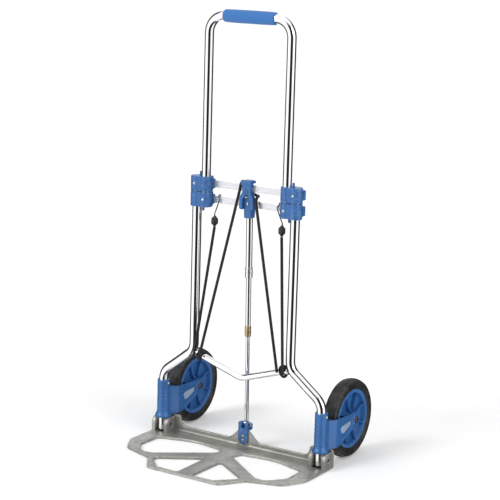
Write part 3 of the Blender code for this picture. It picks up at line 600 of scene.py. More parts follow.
def applied(obj):
    """Bakes obj's modifiers into its mesh."""
    bpy.context.view_layer.update()
    mesh = bpy.data.meshes.new_from_object(obj.evaluated_get(bpy.context.evaluated_depsgraph_get()))
    obj.modifiers.clear()
    obj.data = mesh
    return obj


def combine(obj, others, operation, tangled=False):
    for other in others:
        modifier = obj.modifiers.new(operation, "BOOLEAN")
        modifier.operation = operation
        modifier.solver = "EXACT"
        modifier.use_self = tangled
        modifier.object = other
    applied(obj)
    for other in others:
        bpy.data.objects.remove(other, do_unlink=True)
    obj.data.shade_smooth()
    obj.data.set_sharp_from_angle(angle=math.radians(35))
    return obj


def cut(obj, *others):
    return combine(obj, others, "DIFFERENCE")


def join(obj, *others, tangled=False):
    return combine(obj, others, "UNION", tangled)


def soften(obj, voxel, passes=4, keep=0.3, sharp=60):
    """Rounds every edge of a moulding, as its tool would, and thins the mesh."""
    remesh = obj.modifiers.new("voxels", "REMESH")
    remesh.mode = "VOXEL"
    remesh.voxel_size = voxel
    smooth = obj.modifiers.new("smooth", "SMOOTH")
    smooth.factor = 0.5
    smooth.iterations = passes
    thin = obj.modifiers.new("thin", "DECIMATE")
    thin.ratio = keep
    applied(obj)
    obj.data.shade_smooth()
    obj.data.set_sharp_from_angle(angle=math.radians(sharp))
    return obj


def along_x(middle, way=1):
    """A frame whose Z axis points along X, or against it when way is -1."""
    return Matrix.Translation(middle) @ Matrix.Rotation(way * math.pi / 2, 4, "Y")


def along_y(middle):
    """A frame whose Z axis points to the front, along -Y."""
    return Matrix.Translation(middle) @ Matrix.Rotation(math.pi / 2, 4, "X")


# ---------------------------------------------------------------- chromed tubes

FIT = 0.0003                    # clearance round a piece that another one holds
TUBE_R = 0.0105
HANDLE_R = 0.010
BRACE_R = 0.00725
TUBE_LOW, TUBE_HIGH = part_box("lower_tube_right")
FOOT_X = TUBE_HIGH.x - TUBE_R
MAIN_X = TUBE_LOW.x + TUBE_R
MAIN_TOP_Z = TUBE_HIGH.z
TUBE_BOTTOM_Z = TUBE_LOW.z
BEND_LOW_Z, BEND_HIGH_Z, BEND_R = 0.146, 0.2095, 0.036
HANDLE_LOW, HANDLE_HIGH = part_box("handle_tube")
HANDLE_X = HANDLE_HIGH.x - HANDLE_R
HANDLE_TOP_Z = HANDLE_HIGH.z - HANDLE_R
HANDLE_END_Z = HANDLE_LOW.z
HANDLE_BEND_R = 0.038
BRACE_Y = centre("cross_tube").y
BRACE_LOW_Z, BRACE_END_Z, BRACE_BEND_R = 0.165, 0.205, 0.040


def brace_z(x):
    """The brace's height at x, on its straight runs."""
    return BRACE_LOW_Z + (BRACE_END_Z - BRACE_LOW_Z) * abs(x) / MAIN_X


def make_tubes():
    for side, sx in SIDES:
        corners = [(sx * FOOT_X, 0, TUBE_BOTTOM_Z), (sx * FOOT_X, 0, BEND_LOW_Z),
                   (sx * MAIN_X, 0, BEND_HIGH_Z), (sx * MAIN_X, 0, MAIN_TOP_Z)]
        tube = sweep("tube_" + side, filleted(corners, BEND_R, 12), TUBE_R, 40)
        stand_for(tube, "lower_tube_" + side, CHROME)
        weld_x = MAIN_X - 0.0068
        slope = math.atan2(BRACE_END_Z - BRACE_LOW_Z, MAIN_X) * sx
        turn = Matrix.Rotation(-slope, 4, "Y")
        middle = Vector((sx * weld_x, BRACE_Y, brace_z(weld_x)))
        bead = []
        for k in range(48):
            t = 2 * math.pi * k / 48
            reach = BRACE_R + 0.0004 + 0.0002 * math.sin(9 * t)
            saddle = 0.0035 * math.sin(t) ** 2 * sx
            bead.append(middle + turn @ Vector((saddle, reach * math.sin(t), reach * math.cos(t))))
        dress(sweep("weld_" + side, bead, 0.0013, 10, closed=True), "cross_tube", CHROME)
    corners = [(-HANDLE_X, 0, HANDLE_END_Z), (-HANDLE_X, 0, HANDLE_TOP_Z), (HANDLE_X, 0, HANDLE_TOP_Z),
               (HANDLE_X, 0, HANDLE_END_Z)]
    loop = sweep("handle_loop", filleted(corners, HANDLE_BEND_R, 14), HANDLE_R, 40)
    stand_for(loop, "handle_tube", CHROME)
    end_x = MAIN_X - 0.0055
    end_z = brace_z(end_x)
    corners = [(-end_x, BRACE_Y, end_z), (0, BRACE_Y, BRACE_LOW_Z), (end_x, BRACE_Y, end_z)]
    stand_for(sweep("brace", filleted(corners, BRACE_BEND_R, 12), BRACE_R, 32), "cross_tube", CHROME)


def make_grip():
    """Foam sleeve: soft ends, and slightly fuller in the hand."""
    low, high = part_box("grip")
    half, radius = (high.x - low.x) / 2, (high.z - low.z) / 2
    bore = HANDLE_R + 0.0002
    profile = [(bore, half), (radius - 0.0034, half), (radius - 0.0018, half - 0.0006),
               (radius - 0.0008, half - 0.0020)]
    steps = 24
    for k in range(steps + 1):
        share = 1 - 2 * k / steps
        profile.append((radius - 0.0006 + 0.0006 * (1 - share ** 4), share * (half - 0.0040)))
    profile += [(r, -h) for r, h in reversed(profile[:4])]
    grip = lathe("foam_grip", profile, along_x(centre("grip")), 56, closed=True)
    for vertex in grip.data.vertices:
        if abs(vertex.co.x) < half - 0.003:
            vertex.co += 0.00018 * noise.noise_vector(vertex.co * 70) * Vector((0, 1, 1))
    stand_for(grip, "grip", FOAM)


# ---------------------------------------------------------------- screws and bars

SCREW_R, SCREW_DOME = 0.0032, 0.0018


def cross_screw(name, node, material=ZINC):
    """A domed head with a cross recess. It looks to the front."""
    low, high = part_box(node)
    middle = (low + high) / 2
    radius, dome = SCREW_R, SCREW_DOME
    seat = low.y + (0.0022 if high.y - low.y > 0.004 else 0.0019)
    profile = [(0, dome), (0.35 * radius, 0.97 * dome), (0.65 * radius, 0.78 * dome),
               (0.88 * radius, 0.42 * dome), (radius, 0.0002), (radius, 0), (0.5 * radius, 0),
               (0.5 * radius, -0.0024), (0, -0.0024)]
    head = lathe(name, profile, along_y((middle.x, seat, middle.z)), 32)
    arms = []
    for across, upright in ((0.58, 0.12), (0.12, 0.58)):
        x, z = across * radius, upright * radius
        arms.append(round_box("arm", (middle.x - x, seat - dome - 0.001, middle.z - z),
                              (middle.x + x, seat - 0.35 * dome, middle.z + z), 0))
    return stand_for(cut(head, *arms), node, material)


def make_screws():
    for side, _ in SIDES:
        for level in ("upper", "lower"):
            cross_screw(f"clamp_screw_{level}_{side}", f"{level}_clamp_screw_{side}")
    cross_screw("block_screw", "rod_block_screw")
    for level in ("upper", "lower"):
        cross_screw("rivet_" + level, "bracket_rivet_" + level, BRASS)


PANEL_DEPTH = 0.0007
BAR_PANELS = {"upper": ((-0.085, -0.033), (0.024, 0.078)), "lower": ((-0.070, -0.042), (0.027, 0.065))}


def make_bars():
    """Flat bars with long panels pressed into both faces."""
    for level, panels in BAR_PANELS.items():
        node = level + "_crossbar"
        low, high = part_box(node)
        bar = round_box("bar_" + level, low, high, 0.0006)
        cutters = []
        for x0, x1 in panels:
            z0, z1 = low.z + 0.0026, high.z - 0.0026
            outline = rounded_rectangle(x0, z0, x1, z1, 0.0026, 5)
            for y0, y1 in ((low.y - 0.01, low.y + PANEL_DEPTH), (high.y - PANEL_DEPTH, high.y + 0.01)):
                cutters.append(prism("panel", outline, "XZ", y0, y1))
        stand_for(cut(bar, *cutters), node, BAR)


def bar_slot(level, low_x, high_x):
    """The cutter for a crossbar's passage through a moulding."""
    low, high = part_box(level + "_crossbar")
    return round_box("slot", (low_x, low.y - FIT, low.z - FIT), (high_x, high.y + FIT, high.z + FIT), 0)


# ---------------------------------------------------------------- clamps

HANDLE_BARREL_R = 0.0136
MAIN_BARREL_R = 0.0148
CLAMP_BACK_Y = 0.0186
CLAMP_BACK_X = (0.0960, 0.1310)
CLAMP_HALF_Z = 0.0165
PAD_X = (0.0900, 0.1400)
PAD_HALF_Z = 0.011
LUG_X = {"upper": 0.1185, "lower": 0.1105}
LUG_Y, LUG_R, LUG_REACH = 0.0015, 0.0027, 0.010


def barrels_outline():
    """Two round fronts side by side, narrowing to a flat back."""
    corner = 0.0010
    start_x, end_x = CLAMP_BACK_X
    outline = [Vector((start_x + corner, CLAMP_BACK_Y)), Vector((start_x, CLAMP_BACK_Y - corner))]
    outline += arc((HANDLE_X, 0), HANDLE_BARREL_R, 125, 299, 24)
    outline += arc((MAIN_X, 0), MAIN_BARREL_R, 241, 415, 24)
    return outline + [Vector((end_x, CLAMP_BACK_Y - corner)), Vector((end_x - corner, CLAMP_BACK_Y))]


def clamp(level, side, sx):
    """Two round barrels side by side, with the crossbar's boss behind them."""
    node = f"{level}_clamp_{side}"
    up = level == "upper"
    middle_z = centre(level + "_crossbar").z
    outline = [(sx * p.x, p.y) for p in barrels_outline()]
    block = prism("clamp_body", outline, "XY", middle_z - CLAMP_HALF_Z, middle_z + CLAMP_HALF_Z, 0.0011)
    left, right = sorted(sx * x for x in PAD_X)
    bottom, top = middle_z - PAD_HALF_Z, middle_z + PAD_HALF_Z
    pad = prism("pad", rounded_rectangle(left, bottom, right, top, 0.0032, 6), "XZ", 0.0085, 0.0180, 0.0010)
    way = 1 if up else -1
    lug_ends = sorted(middle_z + way * reach for reach in (0.010, CLAMP_HALF_Z + LUG_REACH))
    lug = rod("lug", *((sx * LUG_X[level], LUG_Y, z) for z in lug_ends), LUG_R, 24, 0.0009)
    join(block, pad, lug)
    bores = []
    for bore_x, tube_r, stops in ((MAIN_X, TUBE_R, up), (HANDLE_X, HANDLE_R, not up)):
        bottom, top = middle_z - 0.04, middle_z + 0.04
        if stops and up:
            top = MAIN_TOP_Z + FIT
        elif stops:
            bottom = HANDLE_END_Z - FIT
        bores.append(rod("bore", (sx * bore_x, 0, bottom), (sx * bore_x, 0, top), tube_r + FIT, 40))
    bar_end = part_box(level + "_crossbar")[1].x
    bores.append(bar_slot(level, *sorted((sx * (PAD_X[0] - 0.004), sx * (bar_end + FIT)))))
    screw_x = sx * (MAIN_X if up else HANDLE_X)
    front = -(MAIN_BARREL_R if up else HANDLE_BARREL_R)
    bores.append(rod("seat", (screw_x, front - 0.003, middle_z), (screw_x, front + 0.0004, middle_z),
                     SCREW_R + 0.0004, 24))
    stand_for(cut(block, *bores), node, BLUE)


def make_clamps():
    for side, sx in SIDES:
        for level in ("upper", "lower"):
            clamp(level, side, sx)


# ---------------------------------------------------------------- latch and the rod's top block

PIVOT = centre("latch_pin")
PIVOT_BORE_R = 0.0021


def make_latch():
    low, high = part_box("latch_knob")
    top, bottom = high.z, low.z
    waist, shoulder = PIVOT.z - 0.0045, PIVOT.z - 0.0200
    slot_top = bottom + 0.0288
    half = [(0.0000, top), (0.0060, top - 0.0002), (0.0105, top - 0.0012), (0.0130, top - 0.0036),
            (0.0126, top - 0.0062), (0.0112, waist + 0.0085), (0.0104, waist + 0.0025),
            (0.0107, waist - 0.0035), (0.0130, waist - 0.0085), (0.0160, waist - 0.0125),
            (0.0172, shoulder - 0.0025), (0.0175, shoulder - 0.007), (0.0175, bottom + 0.0035),
            (0.0166, bottom + 0.0010), (0.0145, bottom), (0.0102, bottom),
            (0.0100, slot_top - 0.0085), (0.0088, slot_top - 0.0040), (0.0060, slot_top - 0.0010)]
    right = [Vector(p) for p in half]
    outline = right + [Vector((0, slot_top))] + [Vector((-p.x, p.y)) for p in reversed(right[1:])]
    knob = prism("latch_body", outline, "XZ", -0.0040, high.y, 0)
    side_view = [(0.0172, bottom), (0.0172, PIVOT.z + 0.0088), (high.y - 0.0008, top - 0.0052),
                 (high.y, top - 0.0028), (high.y - 0.0022, top - 0.0004), (0.0040, top),
                 (-0.0005, top - 0.0012),
                 (-0.0030, top - 0.0040), (-0.0022, top - 0.0075), (0.0006, top - 0.0130), (0.0014, waist),
                 (0.0012, shoulder), (0.0014, bottom + 0.003), (0.003, bottom)]
    combine(knob, [prism("side", side_view, "YZ", -0.03, 0.03)], "INTERSECT")
    openings = [
        round_box("cavity", (-0.0074, 0.0048, PIVOT.z - 0.0125), (0.0074, 0.03, PIVOT.z + 0.0135), 0),
        round_box("upper_notch", (-0.03, 0.0109, PIVOT.z - 0.0115), (0.03, 0.03, PIVOT.z + 0.0115), 0),
        round_box("lower_notch", (-0.03, 0.0116, bottom + 0.0042), (0.03, 0.03, PIVOT.z - 0.014), 0),
        round_box("lip", (-0.03, 0.0155, bottom - 0.01), (0.03, 0.03, bottom + 0.0125), 0),
        round_box("window", (-0.0034, -0.006, slot_top - 0.002), (0.0034, 0.03, PIVOT.z - 0.0120), 0),
        rod_along_x("bore", -0.03, 0.03, PIVOT, PIVOT_BORE_R, 20),
    ]
    pocket = rounded_rectangle(-0.0046, slot_top - 0.003, 0.0046, PIVOT.z - 0.0005, [0, 0, 0.0044, 0.0044], 6)
    openings.append(prism("pocket", pocket, "XZ", -0.010, 0.0024))
    cut(knob, *openings)
    boss_z = PIVOT.z - 0.0052
    join(knob, rod("boss", (0, 0.0006, boss_z), (0, 0.0036, boss_z), 0.0029, 28, 0.0005),
         round_box("barb", (0.0160, 0.0050, bottom + 0.0140), (0.0196, 0.0085, bottom + 0.0165), 0.0005),
         round_box("barb", (0.0160, 0.0050, bottom + 0.0030), (0.0196, 0.0085, bottom + 0.0055), 0.0005))
    soften(knob, 0.0005, 3, 0.35)
    stand_for(knob, "latch_knob", BLUE)
    shutter = round_box("latch_shutter", (-0.0046, 0.0030, slot_top - 0.0006),
                        (0.0046, 0.0044, PIVOT.z - 0.0072), 0.0003)
    dress(shutter, "latch_knob", BLACK)


def make_latch_hardware():
    low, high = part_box("latch_saddle")
    nose_z, nose_y = 0.0035, low.y + 0.0023
    side_view = [(low.y, PIVOT.z - nose_z), (nose_y, low.z), (high.y, low.z), (high.y, high.z),
                 (nose_y, high.z), (low.y, PIVOT.z + nose_z)]
    saddle = prism("saddle", side_view, "YZ", low.x, high.x, 0.0005)
    cut(saddle, bar_slot("upper", -0.02, 0.02), rod_along_x("bore", -0.02, 0.02, PIVOT, PIVOT_BORE_R, 20))
    stand_for(saddle, "latch_saddle", BLUE)
    low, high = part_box("latch_pin")
    stand_for(rod_along_x("pin_of_latch", low.x, high.x, PIVOT, 0.0018, 24, 0.0003), "latch_pin", ZINC)
    low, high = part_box("latch_spring")
    turns, wire, coil_r = 4, 0.00032, 0.0027
    steps = 18 * turns
    coil = []
    for k in range(steps + 1):
        t = 2 * math.pi * turns * k / steps
        x = low.x + wire + (high.x - low.x - 2 * wire) * k / steps
        coil.append(Vector((x, PIVOT.y + coil_r * math.cos(t), PIVOT.z + coil_r * math.sin(t))))
    stand_for(sweep("coil_spring", coil, wire, 8), "latch_spring", ZINC)


def make_block():
    """The slim block below the latch, with a round top and a tapered foot."""
    low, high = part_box("rod_top_block")
    half = high.x
    corners = [(-half + 0.0012, low.z), (half - 0.0012, low.z), (half, low.z + 0.012), (half, high.z),
               (-half, high.z), (-half, low.z + 0.012)]
    outline = filleted(corners, [0.001, 0.001, 0.004, 0.0066, 0.0066, 0.004], 7, closed=True)
    block = prism("block", outline, "XZ", low.y, high.y, 0.0009)
    rim = rounded_rectangle(-half + 0.002, low.z + 0.0025, half - 0.002, high.z - 0.002,
                            [0.001, 0.001, 0.005, 0.005], 6)
    channel_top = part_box("rod_upper")[1].z + 0.0012
    cut(block, prism("panel", rim, "XZ", low.y - 0.004, low.y + 0.0006),
        round_box("channel", (-0.0078, 0.0101, low.z - 0.002), (0.0078, 0.04, channel_top), 0),
        bar_slot("lower", -0.02, 0.02))
    stand_for(block, "rod_top_block", BLUE)


# ---------------------------------------------------------------- telescopic rod

ROD_PIN = centre("rod_pin")
ROD_PIN.x = 0
ROD_TOP = Vector((0, 0.018, 0.541))
ROD_LENGTH = (ROD_TOP - ROD_PIN).length
ROD_PIN_BORE_R = 0.0033
UPPER_START, MIDDLE_START, FERRULE_LENGTH = 0.3355, 0.2025, 0.0235
ROD_FRAME = Matrix.Translation(ROD_PIN) @ (ROD_TOP - ROD_PIN).to_track_quat("Z", "Y").to_matrix().to_4x4()


def rod_tube(name, node, outer, inner, start, end):
    lip = 0.0004
    profile = [(inner, end), (outer - lip, end), (outer, end - lip), (outer, start + lip),
               (outer - lip, start), (inner, start)]
    return stand_for(lathe(name, profile, ROD_FRAME, 40, closed=True), node, CHROME)


def ferrule(name, node, outer, inner, start, material):
    """A crimped collar with two rolled grooves."""
    length = FERRULE_LENGTH
    profile = [(inner, start + length), (outer - 0.0005, start + length), (outer, start + length - 0.0006)]
    for share in (0.80, 0.30):
        at = start + length * share
        profile += [(outer, at + 0.0011), (outer - 0.00035, at + 0.0004), (outer - 0.00035, at - 0.0004),
                    (outer, at - 0.0011)]
    profile += [(outer, start + 0.0006), (outer - 0.0005, start), (inner, start)]
    return stand_for(lathe(name, profile, ROD_FRAME, 40, closed=True), node, material)


def make_rod():
    rod_tube("rod_tube_upper", "rod_upper", 0.0072, 0.0062, UPPER_START, ROD_LENGTH)
    rod_tube("rod_tube_middle", "rod_mid", 0.0059, 0.0049, MIDDLE_START, 0.3715)
    ferrule("collar_upper", "rod_ferrule_upper", 0.0084, 0.0075, UPPER_START, ZINC)
    ferrule("collar_lower", "rod_ferrule_lower", 0.0071, 0.0062, MIDDLE_START, BRASS)
    profile = [(0, 0.238), (0.0038, 0.238), (0.0044, 0.2374), (0.0044, 0.0105), (0.0042, 0.0060),
               (0.0042, 0.002), (0, 0.002)]
    bar = lathe("rod_bar", profile, ROD_FRAME, 32)
    join(bar, rod_along_x("eye", -0.0045, 0.0045, ROD_PIN, 0.0063, 40, 0.0005))
    cut(bar, rod_along_x("hole", -0.02, 0.02, ROD_PIN, ROD_PIN_BORE_R))
    stand_for(bar, "rod_lower", CHROME)
    low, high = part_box("rod_pin")
    profile = [(0, high.x), (0.0028, high.x), (0.0042, high.x - 0.0007), (0.0045, high.x - 0.0018),
               (0.0045, 0.0129), (0.003, 0.0129), (0.003, -0.0129), (0.0045, -0.0129),
               (0.0042, low.x + 0.0005), (0.0028, low.x), (0, low.x)]
    stand_for(lathe("clevis_pin", profile, along_x(ROD_PIN), 32), "rod_pin", ZINC)


def make_rod_bracket():
    low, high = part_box("rod_bracket")
    half, seat = high.x, 0.0412
    face = rounded_rectangle(-half, low.z, half, high.z, [half - 0.0004, half - 0.0004, 0.003, 0.003], 10)
    bracket = prism("clevis", face, "XZ", low.y, 0.0185, 0.0008)
    ears = rounded_rectangle(low.y, seat, high.y, high.z, [0.0009, 0.004, 0.011, 0.004], 8)
    join(bracket, prism("ears", ears, "YZ", -half + 0.0001, half - 0.0001, 0.0009))
    groove = rounded_rectangle(-0.005, 0.0465, 0.005, 0.09, [0.003, 0.003, 0, 0], 6)
    cut(bracket, prism("groove", groove, "XZ", -0.01, 0.06),
        rod_along_x("hole", -0.03, 0.03, ROD_PIN, ROD_PIN_BORE_R))
    stand_for(bracket, "rod_bracket", BLUE)


# ---------------------------------------------------------------- toe plate

HINGE_Z = centre("hinge_pin_left").z
HINGE = Vector((0, 0, HINGE_Z))
HINGE_BORE_R = 0.0043
PLATE_T = 0.005
FLANGE_Y = (0.0188, 0.0243)
EAR_IN, EAR_OUT, EAR_R = 0.012, 0.0215, 0.0145


def mirrored(half):
    """Corners on the right, followed by their mirror images on the left."""
    return half + [(-x, y) for x, y in reversed(half)]


def plate_outline():
    side_x = FOOT_X + EAR_OUT
    corners = [(0.091, -0.2205), (0.127, -0.168), (0.203, -0.143), (side_x, -0.095), (side_x, FLANGE_Y[1])]
    radii = [0.018, 0.016, 0.030, 0.045, 0.003]
    return filleted(mirrored(corners), radii + radii[::-1], 12, closed=True)


def plate_openings():
    back = [(0.020, -0.057), (0.026, -0.031), (0.105, -0.0185), (0.189, -0.044), (0.191, -0.108),
            (0.160, -0.146), (0.134, -0.143)]
    back_radii = [0.007, 0.010, 0.150, 0.012, 0.028, 0.018, 0.012]
    front = [(0.0195, -0.101), (0.1075, -0.160), (0.1075, -0.174), (0.072, -0.2095), (0.0185, -0.2095)]
    front_radii = [0.006, 0.007, 0.009, 0.010, 0.006]
    loops = []
    for corners, radii in ((back, back_radii), (front, front_radii)):
        for _, sx in SIDES:
            loops.append(filleted([(sx * x, y) for x, y in corners], radii, 10, closed=True))
    return loops


def flange_outline():
    end_x = FOOT_X + EAR_OUT
    corners = [(end_x, 0.0012), (end_x, 0.0415), (0.1735, 0.0415), (0.1700, 0.0178), (0.037, 0.0178),
               (0.0135, 0.0405)]
    radii = [0.003, 0.007, 0.005, 0.018, 0.020, 0.003]
    return filleted(mirrored(corners), radii + radii[::-1], 10, closed=True)


def offset_loop(loop, distance):
    """The loop's points moved outwards. Works for loops without sharp corners."""
    loop = wound(loop, 1)
    count = len(loop)
    moved = []
    for i, point in enumerate(loop):
        along = (loop[(i + 1) % count] - loop[i - 1]).normalized()
        moved.append(point + distance * Vector((along.y, -along.x)))
    return moved


def make_plate_rims():
    """Raised beads round the openings and along the wall's upper edge."""
    for k, loop in enumerate(plate_openings()):
        path = [Vector((p.x, p.y, PLATE_T - 0.0009)) for p in offset_loop(loop, 0.0019)]
        dress(sweep(f"window_bead_{k}", path, 0.0018, 12, closed=True), "toe_plate", CASTING)
    top = [p for p in flange_outline() if p.y > 0.0160 and abs(p.x) < 0.1860]
    spans = [[p for p in top if p.x > 0.0145], [p for p in top if p.x < -0.0145]]
    for k, span in enumerate(spans):
        path = [Vector((p.x, FLANGE_Y[0] + 0.0002, p.y - 0.0015)) for p in span]
        dress(sweep(f"wall_bead_{k}", path, 0.0014, 12, dome=0.0008), "toe_plate", CASTING)


def make_painted_foot_shade():
    """Black sheets between each foot's ears, behind the tube and under it: painted shade where shadow falls
    between the ears.
    """
    gap = 0.0001
    front, back, floor, top = -0.0110, 0.0176, 0.0060, 0.0370
    seat, wall, half = PLATE_T + gap, FLANGE_Y[0] - gap, EAR_IN - gap
    outline = [(front, seat), (wall, seat), (wall, top), (back, top), (back, floor), (front, floor)]
    for side, sx in SIDES:
        # A black sheet that paints the shade between this foot's ears
        shade_sheet = prism("painted_foot_shade_" + side, outline, "YZ", sx * FOOT_X - half, sx * FOOT_X + half)
        dress(shade_sheet, "toe_plate", BLACK)


def fillet_strip(start_x, end_x, radius):
    """The concave run where the plate turns up into the flange."""
    corner = Vector((FLANGE_Y[0] + 0.001, PLATE_T - 0.001))
    rim = [Vector((corner.x - 0.001 - radius, corner.y))]
    rim += arc((FLANGE_Y[0] - radius, PLATE_T + radius), radius, 270, 360, 8)
    rim += [Vector((corner.x, PLATE_T + radius)), corner]
    return prism("strip", rim, "YZ", start_x, end_x)


def make_toe_plate():
    plate = prism("deck", plate_outline(), "XY", 0.0, PLATE_T, 0.0009, holes=plate_openings())
    pieces = [prism("flange", flange_outline(), "XZ", *FLANGE_Y, 0.0011)]
    top = HINGE_Z + EAR_R
    ear = rounded_rectangle(-EAR_R, 0.0012, FLANGE_Y[0] + 0.002, top, [0, 0, 0, EAR_R - 0.0002], 14)
    for _, sx in SIDES:
        for inner, outer in ((EAR_IN, EAR_OUT), (-EAR_OUT, -EAR_IN)):
            pieces.append(prism("ear", ear, "YZ", sx * FOOT_X + inner, sx * FOOT_X + outer - FIT, 0.0009))
        ends = sorted((sx * 0.0145, sx * (FOOT_X - EAR_OUT + 0.002)))
        pieces.append(fillet_strip(*ends, 0.0055))
    join(plate, *pieces, tangled=True)
    holes = [rod_along_x("hole", sx * FOOT_X - 0.04, sx * FOOT_X + 0.04, HINGE, HINGE_BORE_R)
             for _, sx in SIDES]
    valley = [(-0.0135, 0.02), (-0.0135, PLATE_T), (-0.0090, 0.0044), (-0.0040, 0.0036), (0.0020, 0.0032),
              (0.0080, 0.0036), (0.0125, 0.0046), (0.0140, 0.0052), (0.0140, 0.02)]
    holes.append(prism("valley", valley, "YZ", -0.176, 0.176))
    cut(plate, *holes)
    stand_for(plate, "toe_plate", CASTING)
    make_plate_rims()
    make_painted_foot_shade()


def make_hinge_pins():
    """Tubular rivets, dished at both ends."""
    for side, sx in SIDES:
        low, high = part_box("hinge_pin_" + side)
        half = (high.x - low.x) / 2
        profile = both_ways([(0, half - 0.004), (0.0034, half - 0.004), (0.0035, half - 0.0003),
                             (0.0038, half), (0.0040, half - 0.0006)])
        rivet = lathe("hinge_rivet_" + side, profile, along_x((low + high) / 2), 32)
        stand_for(rivet, "hinge_pin_" + side, AGED)
        for way in (-1, 1):
            ends = sorted(way * (half - depth) for depth in (0.0004, 0.0039))
            plug = rod_along_x("rivet_shade", *(sx * FOOT_X + x for x in ends), HINGE, 0.0033, 24)
            dress(plug, "hinge_pin_" + side, BLACK)
        profile = [(0, 0.034), (0.0083, 0.034), (0.0083, 0.0097), (0.0098, 0.0096), (0.0098, 0.0092),
                   (0.0093, 0.0087), (0, 0.0087)]
        bush = lathe("foot_plug_" + side, profile, Matrix.Translation((sx * FOOT_X, 0, 0)), 32)
        cut(bush, rod_along_x("hole", sx * FOOT_X - 0.02, sx * FOOT_X + 0.02, HINGE, HINGE_BORE_R, 24))
        stand_for(bush, "foot_bush_" + side, BLACK)


# ---------------------------------------------------------------- wheels and their brackets

WHEEL_R = 0.0875
AXLE = centre("rim_right")
AXLE_BORE_R = 0.0051
SPOKES = 8
PANEL_SINK = 0.0014
SLEEVE_Z = (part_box("wheel_bracket_right")[0].z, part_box("wheel_bracket_right")[1].z)
SLEEVE_R, FLARE_R = 0.0140, 0.0184
FORK_IN, FORK_OUT = 0.0176, 0.0216


def hub_centre(sx):
    return Vector((sx * FOOT_X, AXLE.y, AXLE.z))


def make_tyre(side, sx):
    """Solid tyre: fine rings round the tread, a stepped sidewall and a bead on the rim."""
    rings, groove = 9, 0.00045
    tread = []
    for k in range(rings):
        height = 0.0100 - 0.0200 * k / (rings - 1)
        crown = WHEEL_R - 0.0032 * (height / 0.0115) ** 2 * 0.9
        if k:
            tread.append((crown - groove, height + 0.0012))
        tread.append((crown, height + 0.0009))
        tread.append((crown, height - 0.0009))
        if k < rings - 1:
            tread.append((crown - groove, height - 0.0012))
    wall = [(0.0665, 0.0128), (0.0692, 0.0140), (0.0710, 0.0151), (0.0738, 0.0153), (0.0744, 0.0147),
            (0.0756, 0.0147), (0.0762, 0.0156), (0.0795, 0.0160), (0.0822, 0.0153), (0.0838, 0.0140),
            (0.0846, 0.0124)]
    profile = wall + tread + [(radius, -height) for radius, height in reversed(wall)]
    tyre = lathe("tyre_rubber_" + side, profile, along_x(hub_centre(sx)), 112, closed=True, sharp=28)
    stand_for(tyre, "tyre_" + side, RUBBER)


# Takes a radial outline from the XZ plane, so that its x runs out along Z and its z along the axle
OUTWARD = Matrix(((0, 0, 1, 0), (0, -1, 0, 0), (1, 0, 0, 0), (0, 0, 0, 1)))


def make_rim(side, sx):
    """Deep dished rim with eight tapered spokes on each side of its web."""
    middle = hub_centre(sx)
    half = [(0.0085, 0.0170), (0.0140, 0.0170), (0.0152, 0.0160), (0.0165, 0.0100), (0.0190, 0.0026),
            (0.0500, 0.0020), (0.0552, 0.0030), (0.0570, 0.0060), (0.0578, 0.0120), (0.0586, 0.0131),
            (0.0600, 0.0135), (0.0645, 0.0135), (0.0658, 0.0130), (0.0662, 0.0120)]
    rim = lathe("rim_moulding_" + side, both_ways(half), along_x(middle), 96, closed=True, sharp=30)
    spokes = []
    for k in range(SPOKES):
        turn = Matrix.Rotation(2 * math.pi * (k + 0.5) / SPOKES, 4, "X")
        for face in (-1, 1):
            edge = [(0.0150, 0.0), (0.0150, face * 0.0145), (0.0300, face * 0.0108), (0.0450, face * 0.0102),
                    (0.0588, face * 0.0124), (0.0588, 0.0)]
            spoke = prism("spoke", edge, "XZ", -0.0012, 0.0012)
            spoke.data.transform(Matrix.Translation(middle) @ turn @ OUTWARD)
            spokes.append(spoke)
    join(rim, *spokes)
    stand_for(rim, "rim_" + side, BLUE)
    profile = both_ways([(AXLE_BORE_R, 0.0172), (0.0078, 0.0172), (0.0082, 0.0168)])
    sleeve = lathe("hub_sleeve_" + side, profile, along_x(middle), 32, closed=True)
    stand_for(sleeve, "hub_bush_" + side, BLACK)


def arm_outline():
    """The bracket seen from its side: a deep root at the sleeve and a nose round the axle."""
    return filleted([(0.004, 0.0428), (0.044, 0.0428), (0.060, 0.0485), (0.128, 0.0765), (0.1335, 0.0900),
                     (0.126, 0.1035), (0.104, 0.1035), (0.060, 0.1050), (0.004, 0.1085)],
                    [0, 0.010, 0.010, 0.010, 0.010, 0.010, 0.020, 0.030, 0], 8, closed=True)


def panel_outline():
    """The sunk panel on each cheek, a leaning five-cornered field between the sleeve and the hub."""
    corners = [(0.043, 0.0500), (0.057, 0.0530), (0.1015, 0.0735), (0.1005, 0.0965), (0.043, 0.0985)]
    return filleted(corners, [0.003, 0.006, 0.004, 0.004, 0.004], 5, closed=True)


